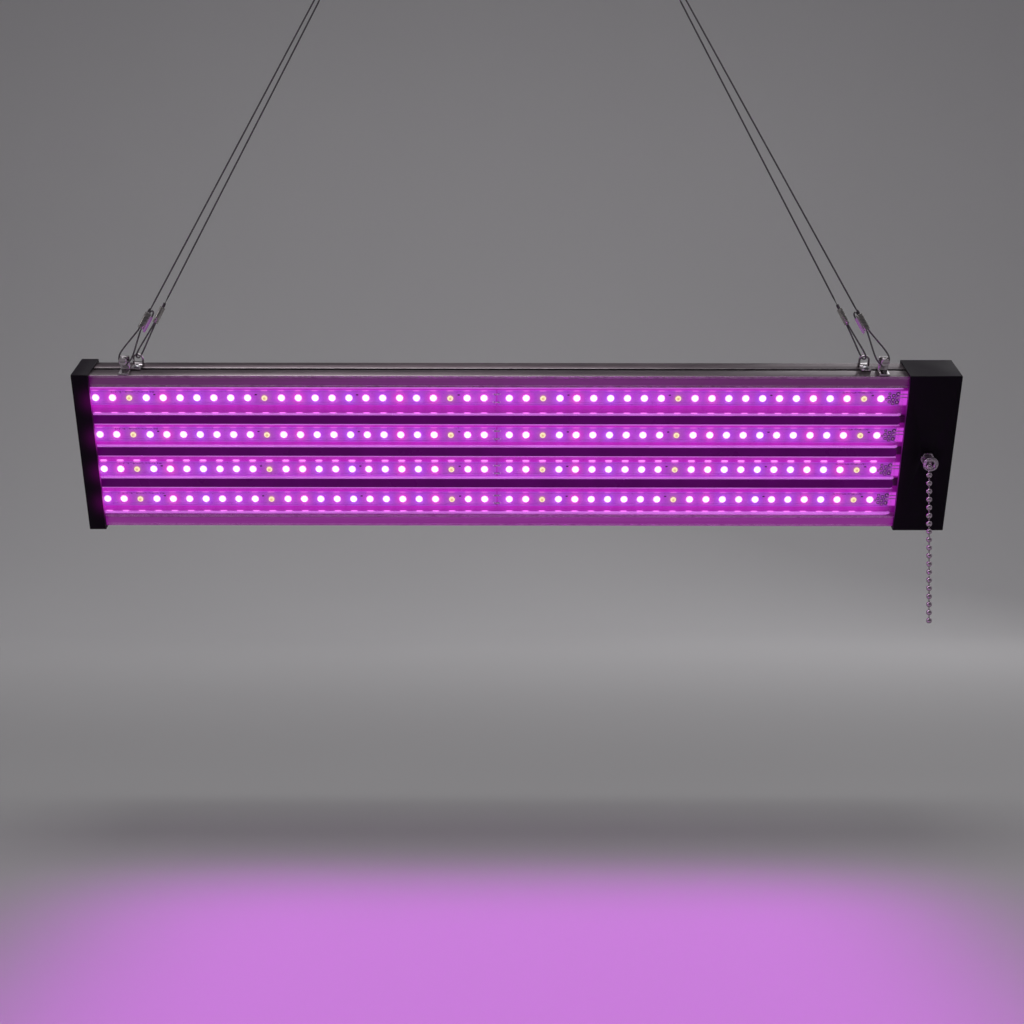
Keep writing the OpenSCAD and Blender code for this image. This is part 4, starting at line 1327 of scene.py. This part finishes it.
@dataclass
class LedFace:
    """Covers, floor films, phosphor windows and the wiring at the boards' ends."""

    window_r: float = 1.55 * MM
    warm_r: float = 1.95 * MM
    window_rise: float = 0.75 * MM
    # Each row's painted reflection dashes on its floor film.
    dashes: tuple[ReflectionDash, ...] = (ReflectionDash(0.0277, 0.7 * MM), ReflectionDash(-0.0032, 0.35 * MM, 0.25),
                                ReflectionDash(-0.0084, 0.75 * MM), ReflectionDash(-0.0481, 0.9 * MM))
    cover_t: float = 0.6 * MM
    corner_r: float = 2.5 * MM
    left_in: float = 0.008
    wire_r: float = 0.45 * MM
    joint_spots: tuple = ((1.6, 3.4, 1.0), (2.2, 0.4, 0.8), (2.0, -2.6, 0.95), (4.6, 2.2, 0.9),
                          (4.9, -0.9, 0.95), (4.7, -3.7, 0.75), (7.4, 3.5, 0.7), (7.6, 0.8, 0.85),
                          (7.3, -2.4, 0.8), (9.6, -0.6, 0.55))
    layout: RowLayout = LAYOUT

    def build(self) -> None:
        """Makes all pieces of the LED face."""
        for row in range(len(self.layout.rows)):
            self.film(row)
            self.cover(row)
            self.end_pads(row)
            self.end_wires(row)
            self.marks(row)
            for side in Side:
                self.windows(row, side)
        self.warm_windows()

    def film(self, row: int) -> None:
        """The reflective film on the tray floor behind one cover."""
        low, high = self.layout.covers[row]
        x0, x1 = -self.layout.half_length + self.left_in, self.layout.right_face + 4 * MM
        shape = bmesh.new()
        back, front = self.layout.tray_y - 0.02 * MM, self.layout.tray_y - 0.045 * MM
        count, place = 60, FRAME.matrix()
        top, bottom = self.layout.middle_z - low, self.layout.middle_z - high
        rings = []
        for k in range(count + 1):
            x = x0 + (x1 - x0) * k / count
            rings.append([shape.verts.new(place @ Vector((x, y, z)))
                          for y, z in ((front, bottom), (front, top), (back, top), (back, bottom))])
        join_rings(shape, rings)
        name = f"floor_film_{row + 1}"
        finish = LitFloor(name, (0.1, 0.04, 0.1), relief=0.00003, shine=0.2, row=row, dash=self.dashes[row])
        new_piece(name, shape, finish, "body_aluminium")

    def cover(self, row: int) -> None:
        """A clear cover: a thin face with a rim turned down to the tray floor all round."""
        low, high = self.layout.covers[row]
        x0, x1 = -self.layout.half_length + self.left_in, self.layout.right_face - 1.8 * MM
        z0, z1 = self.layout.middle_z - high, self.layout.middle_z - low
        place, front = FRAME.matrix(), self.layout.cover_y + 0.9 * MM
        floor = self.layout.tray_y - 0.1 * MM
        shape = bmesh.new()
        loops = []
        # Outside, from the floor over a rounded shoulder to the face, then the same inside
        stations = ((floor, 0.0), (front + 0.5 * MM, 0.0), (front + 0.15 * MM, 0.15 * MM),
                    (front, 0.5 * MM), (front + self.cover_t, 0.9 * MM),
                    (front + 1.0 * MM, self.cover_t), (floor, self.cover_t))
        for y, inset in stations:
            outline = rounded_outline(x0 + inset, x1 - inset, z0 + inset, z1 - inset,
                                      self.corner_r - inset, 6)
            loops.append([shape.verts.new(place @ Vector((x, y, z))) for x, z in outline])
        for first, second in zip(loops, loops[1:] + loops[:1]):
            if first is loops[3]:
                continue
            for k in range(len(first)):
                n = (k + 1) % len(first)
                shape.faces.new((first[k], first[n], second[n], second[k]))
        shape.faces.new(loops[3])
        shape.faces.new(list(reversed(loops[4])))
        finish = ClearCover(f"cover_clear_{row + 1}", (0.75, 0.7, 0.8), side_z=(low, high))
        piece = new_piece(f"clear_cover_{row + 1}", shape, finish, "cover_clear")
        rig.replaces(piece, f"lens_cover_{row + 1}")

    def window(self, shape: bmesh.types.BMesh, x: float, row: int, radius: float) -> None:
        """One round phosphor dome on an LED package."""
        place = FRAME.outward(x, self.layout.chip_y + 0.02 * MM, self.layout.row_z(row))
        profile = [(0.0, -0.05 * MM), (radius, -0.05 * MM)]
        for k in range(6):
            angle = math.pi / 2 * k / 5
            profile.append((radius * math.cos(angle) if k < 5 else 0.0, self.window_rise * math.sin(angle)))
        lathe(shape, profile, place, 14)

    def windows(self, row: int, side: Side) -> None:
        """The magenta-white windows of one board."""
        shape = bmesh.new()
        for number in range(1, self.layout.count(side) + 1):
            if number not in self.layout.warm:
                self.window(shape, self.layout.led_x(side, number), row, self.window_r)
        new_piece(f"phosphor_{row + 1}_{side.value}", shape, GROW, "led_grow", smooth_deg=60)

    def warm_windows(self) -> None:
        """The warm yellow windows of all boards."""
        shape = bmesh.new()
        for row in range(len(self.layout.rows)):
            for side in Side:
                for number in self.layout.warm:
                    self.window(shape, self.layout.led_x(side, number), row, self.warm_r)
        new_piece("phosphor_warm", shape, WARM, "led_warm", smooth_deg=60)

    def blob(self, shape: bmesh.types.BMesh, x: float, z: float, radius: float, rise: float = 0.55) -> None:
        """A low dome on a board, rise times as high as its radius."""
        place = FRAME.outward(x, self.layout.board_y, z)
        profile = [(share * radius, level * rise * radius)
                   for share, level in ((1.0, 0.0), (0.92, 0.4), (0.65, 0.8), (0.3, 0.97), (0.0, 1.0))]
        lathe(shape, profile, place, 14)

    def end_pads(self, row: int) -> None:
        """Solder joints on dark pads at a row's right end, and small ones on both sides of its split."""
        joints, pads, row_z = bmesh.new(), bmesh.new(), self.layout.row_z(row)
        end = self.layout.board_end
        for back, up, radius in self.joint_spots:
            self.blob(joints, end - back * MM, row_z + up * MM, radius * 0.72 * MM)
            self.blob(pads, end - back * MM, row_z + up * MM, radius * 1.5 * MM, 0.06)
        last, first = self.layout.led_x(Side.LEFT, self.layout.left_count), self.layout.led_x(Side.RIGHT, 1)
        split = (last + first) / 2
        for side in (-1, 1):
            for up in (3, -3):
                self.blob(joints, split + side * 2.6 * MM, row_z + up * MM, 0.45 * MM)
        self.blob(pads, split - 0.7 * MM, row_z + (2.6 if row % 2 == 0 else -3.6) * MM, 0.7 * MM, 0.06)
        new_piece(f"solder_joints_{row + 1}", joints, TIN, "solder_tin", smooth_deg=60)
        new_piece(f"dark_pads_{row + 1}", pads, PAD, "driver_dark", smooth_deg=60)

    def end_wires(self, row: int) -> None:
        """Two short wires from the right end pads into the right cap."""
        row_z, end = self.layout.row_z(row), self.layout.board_end
        for k, up in enumerate((3.2, 0.9)):
            points = [(end - 2 * MM, self.layout.board_y - 0.3 * MM, row_z + up * MM),
                      (end - 1 * MM, self.layout.board_y - 1.3 * MM, row_z + (up + 0.3) * MM),
                      (end + 1 * MM, self.layout.board_y - 1.5 * MM, row_z + (up + 0.6) * MM),
                      (end + 4 * MM, self.layout.board_y - 1.1 * MM, row_z + (up + 0.4) * MM),
                      (end + 9 * MM, self.layout.board_y - 0.8 * MM, row_z + up * MM)]
            path = smooth_route([FRAME.point(*p) for p in points], 0.7 * MM)
            shape = bmesh.new()
            sweep(shape, path, circle(self.wire_r, 10))
            new_piece(f"end_wire_{row + 1}_{k + 1}", shape, LEAD, "board_white")

    def marks(self, row: int) -> None:
        """The small parts on the boards: a chip resistor above every sixth LED."""
        shape, row_z = bmesh.new(), self.layout.row_z(row)
        for side in Side:
            for number in range(4, self.layout.count(side), 6):
                x = self.layout.led_x(side, number) + self.layout.pitch / 2
                centre = Vector((x, self.layout.board_y - 0.22 * MM, row_z + 2.4 * MM))
                size = Matrix.Diagonal((1.5 * MM, 0.44 * MM, 0.8 * MM, 1))
                place = FRAME.matrix() @ Matrix.Translation(centre) @ size
                made = bmesh.ops.create_cube(shape, size=1, matrix=place)
                bmesh.ops.bevel(shape, geom=list({e for v in made["verts"] for e in v.link_edges}),
                                offset=0.08 * MM, segments=2, affect="EDGES")
        new_piece(f"chip_resistors_{row + 1}", shape, FITTING, "driver_dark")


# ---- pull chain


@dataclass
class PullChain:
    """Bead chain: hollow beads with a rolled seam, on dumbbell links."""

    bead_r: float = 2.05 * MM
    pitch: float = 5.6 * MM
    link_r: float = 0.5 * MM
    mouth_r: float = 0.85 * MM
    corner: tuple[float, float, float] = (0.2982, -0.0256, -0.4055)
    steps: int = 28

    def bead(self, shape: bmesh.types.BMesh, place: Matrix) -> None:
        """One bead about its own Z, with a small rolled opening at each pole."""
        start = math.asin(self.mouth_r / self.bead_r)
        profile = [(0.0, 0.72 * self.bead_r), (self.mouth_r * 0.8, 0.74 * self.bead_r),
                   (self.mouth_r * 0.86, 0.86 * self.bead_r)]
        count = 14
        for k in range(count + 1):
            angle = start + (math.pi - 2 * start) * k / count
            seam = 0.985 if k == count // 2 else 1.0
            profile.append((seam * self.bead_r * math.sin(angle), self.bead_r * math.cos(angle)))
        profile += [(self.mouth_r * 0.86, -0.86 * self.bead_r), (self.mouth_r * 0.8, -0.74 * self.bead_r),
                    (0.0, -0.72 * self.bead_r)]
        lathe(shape, profile, place, self.steps)

    def link(self, shape: bmesh.types.BMesh, place: Matrix, low: float, high: float) -> None:
        """The bar of a dumbbell link between two heights."""
        profile = [(0.0, low), (self.link_r, low), (self.link_r * 0.85, (low + high) / 2),
                   (self.link_r, high), (0.0, high)]
        lathe(shape, profile, place, 12)

    def length(self, name: str, node: str, first: int, last: int, hung: bool) -> None:
        """One rigid length of the hanging chain, with the link that hangs it."""
        shape = bmesh.new()
        inside = 0.75 * self.bead_r
        for k in range(first, last + 1):
            place = Matrix.Translation(Vector(self.corner) - Vector((0, 0, k * self.pitch)))
            self.bead(shape, place)
            if k < last:
                self.link(shape, place, inside - self.pitch, -inside)
        if hung:
            place = Matrix.Translation(Vector(self.corner) - Vector((0, 0, first * self.pitch)))
            self.link(shape, place, inside, self.pitch - self.bead_r - 0.35 * MM)
        piece = new_piece(name, shape, BEAD, "chain_nickel", node)
        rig.replaces(piece, node)

    def lead(self) -> None:
        """The lead in the spout, along the spout's own axis."""
        shape = bmesh.new()
        low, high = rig.box("pull_lead")
        turn = Matrix.Rotation(math.pi / 2 + FRAME.tilt, 4, "X")
        middle = (low + high) / 2
        inside = 0.75 * self.bead_r
        for k in range(4):
            place = Matrix.Translation(middle) @ turn @ Matrix.Translation((0, 0, (1.5 - k) * self.pitch))
            self.bead(shape, place)
            if k < 3:
                self.link(shape, place, inside - self.pitch, -inside)
        piece = new_piece("lead_beads", shape, BEAD, "chain_nickel", "pull_lead")
        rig.replaces(piece, "pull_lead")

    def build(self) -> None:
        """Makes the lead and the four hanging lengths."""
        self.lead()
        self.length("beads_top", "chain_top", 0, 1, False)
        self.length("beads_upper", "chain_upper", 2, 7, True)
        self.length("beads_middle", "chain_middle", 8, 13, True)
        self.length("beads_lower", "chain_lower", 14, 19, True)


# ---- CAD nodes


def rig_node(name: str) -> bpy.types.Object:
    """A CAD node's object, by its name."""
    return next(o for o in bpy.data.objects if o.get("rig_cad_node") == name)


@dataclass(frozen=True)
class Dressing:
    """The finish and edge rounding of the CAD nodes whose names start alike."""

    prefix: str
    finish: Finish
    edge: float = 0.0
    segments: int = 2

    def apply(self, node: bpy.types.Object) -> None:
        """Gives a node its finish and soft edges."""
        node.data.materials.clear()
        node.data.materials.append(self.finish.material())
        weld = node.modifiers.new("weld", "WELD")
        weld.merge_threshold = 2e-6
        if self.edge:
            bevel = node.modifiers.new("edges", "BEVEL")
            bevel.width, bevel.segments = self.edge, self.segments
            bevel.limit_method, bevel.angle_limit = "ANGLE", math.radians(40)
            bevel.harden_normals = True
            bevel.use_clamp_overlap = True
        shade_smooth(node.data, 38.0)


DRESSINGS = (
    Dressing("ceiling_hook", ZINC, 0.15 * MM),
    Dressing("body_profile", BODY, 0.12 * MM),
    Dressing("end_cap_left", CAP_LEFT, 0.25 * MM),
    Dressing("end_cap_right", CAP_RIGHT, 0.25 * MM),
    Dressing("cap_screws", SCREW, 0.08 * MM),
    Dressing("lens_cover", ClearCover("cover_plain", (0.75, 0.7, 0.8))),
    Dressing("retainer_strip", STRIP, 0.3 * MM),
    Dressing("led_chips", PACKAGE, 0.1 * MM),
    Dressing("warm_chips", PACKAGE_WARM, 0.1 * MM),
    Dressing("board_links", PIN, 0.1 * MM),
    Dressing("driver_board", DRIVER_GREEN, 0.1 * MM),
    Dressing("driver_parts", DRIVER_DARK, 0.4 * MM),
    Dressing("switch_case", FITTING, 0.4 * MM),
    Dressing("switch_nut", NICKEL, 0.2 * MM),
    Dressing("switch_spout", NICKEL, 0.1 * MM),
    Dressing("switch_lever", BRASS, 0.1 * MM),
    Dressing("pull_lead", BEAD),
    Dressing("chain", BEAD),
    Dressing("mains_inlet", FITTING, 0.3 * MM),
    Dressing("inlet_pins", PIN, 0.2 * MM),
    Dressing("clip_screws", SCREW, 0.08 * MM),
    Dressing("clip", CHROME, 0.25 * MM),
    Dressing("slot_nuts", SCREW, 0.1 * MM),
    Dressing("rope", ROPE),
    Dressing("ferrules", FERRULE, 0.3 * MM),
)


def dress_nodes(nodes: dict[str, bpy.types.Object]) -> None:
    """Gives every CAD node its finish. The boards get one each, because each is lit by its own LEDs."""
    for name, node in sorted(nodes.items()):
        if name.startswith("led_board"):
            row, side = int(name.split("_")[2]) - 1, Side(name.split("_")[3])
            finish = LitBoard(f"board_white_{row + 1}_{side.value}", (0.3, 0.24, 0.33), 0.45, shine=0.3,
                              row=row, side=side)
            Dressing(name, finish, 0.1 * MM).apply(node)
        else:
            next(d for d in DRESSINGS if name.startswith(d.prefix)).apply(node)
        LOG.info("node %s dressed", name)


def corners(pair: tuple[Vector, Vector]) -> list[list[float]]:
    """A box's two corners as plain lists."""
    return [[float(value) for value in corner] for corner in pair]


def main() -> None:
    """Loads the frame and builds the looks around it."""
    logging.basicConfig(level=logging.INFO, format="%(name)s: %(message)s")
    for start in list(bpy.data.objects):
        bpy.data.objects.remove(start)
    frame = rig.load()
    cad_box = corners(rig.bounds())
    Studio().build()
    Suspension().build()
    dress_nodes(frame["nodes"])
    LedFace().build()
    PullChain().build()
    bpy.context.view_layer.update()
    with open(SIZE_FILE, "w", encoding="utf-8") as out:
        json.dump({"cad": cad_box, "visual": corners(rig.bounds())}, out)


if __name__ == "__main__":
    main()
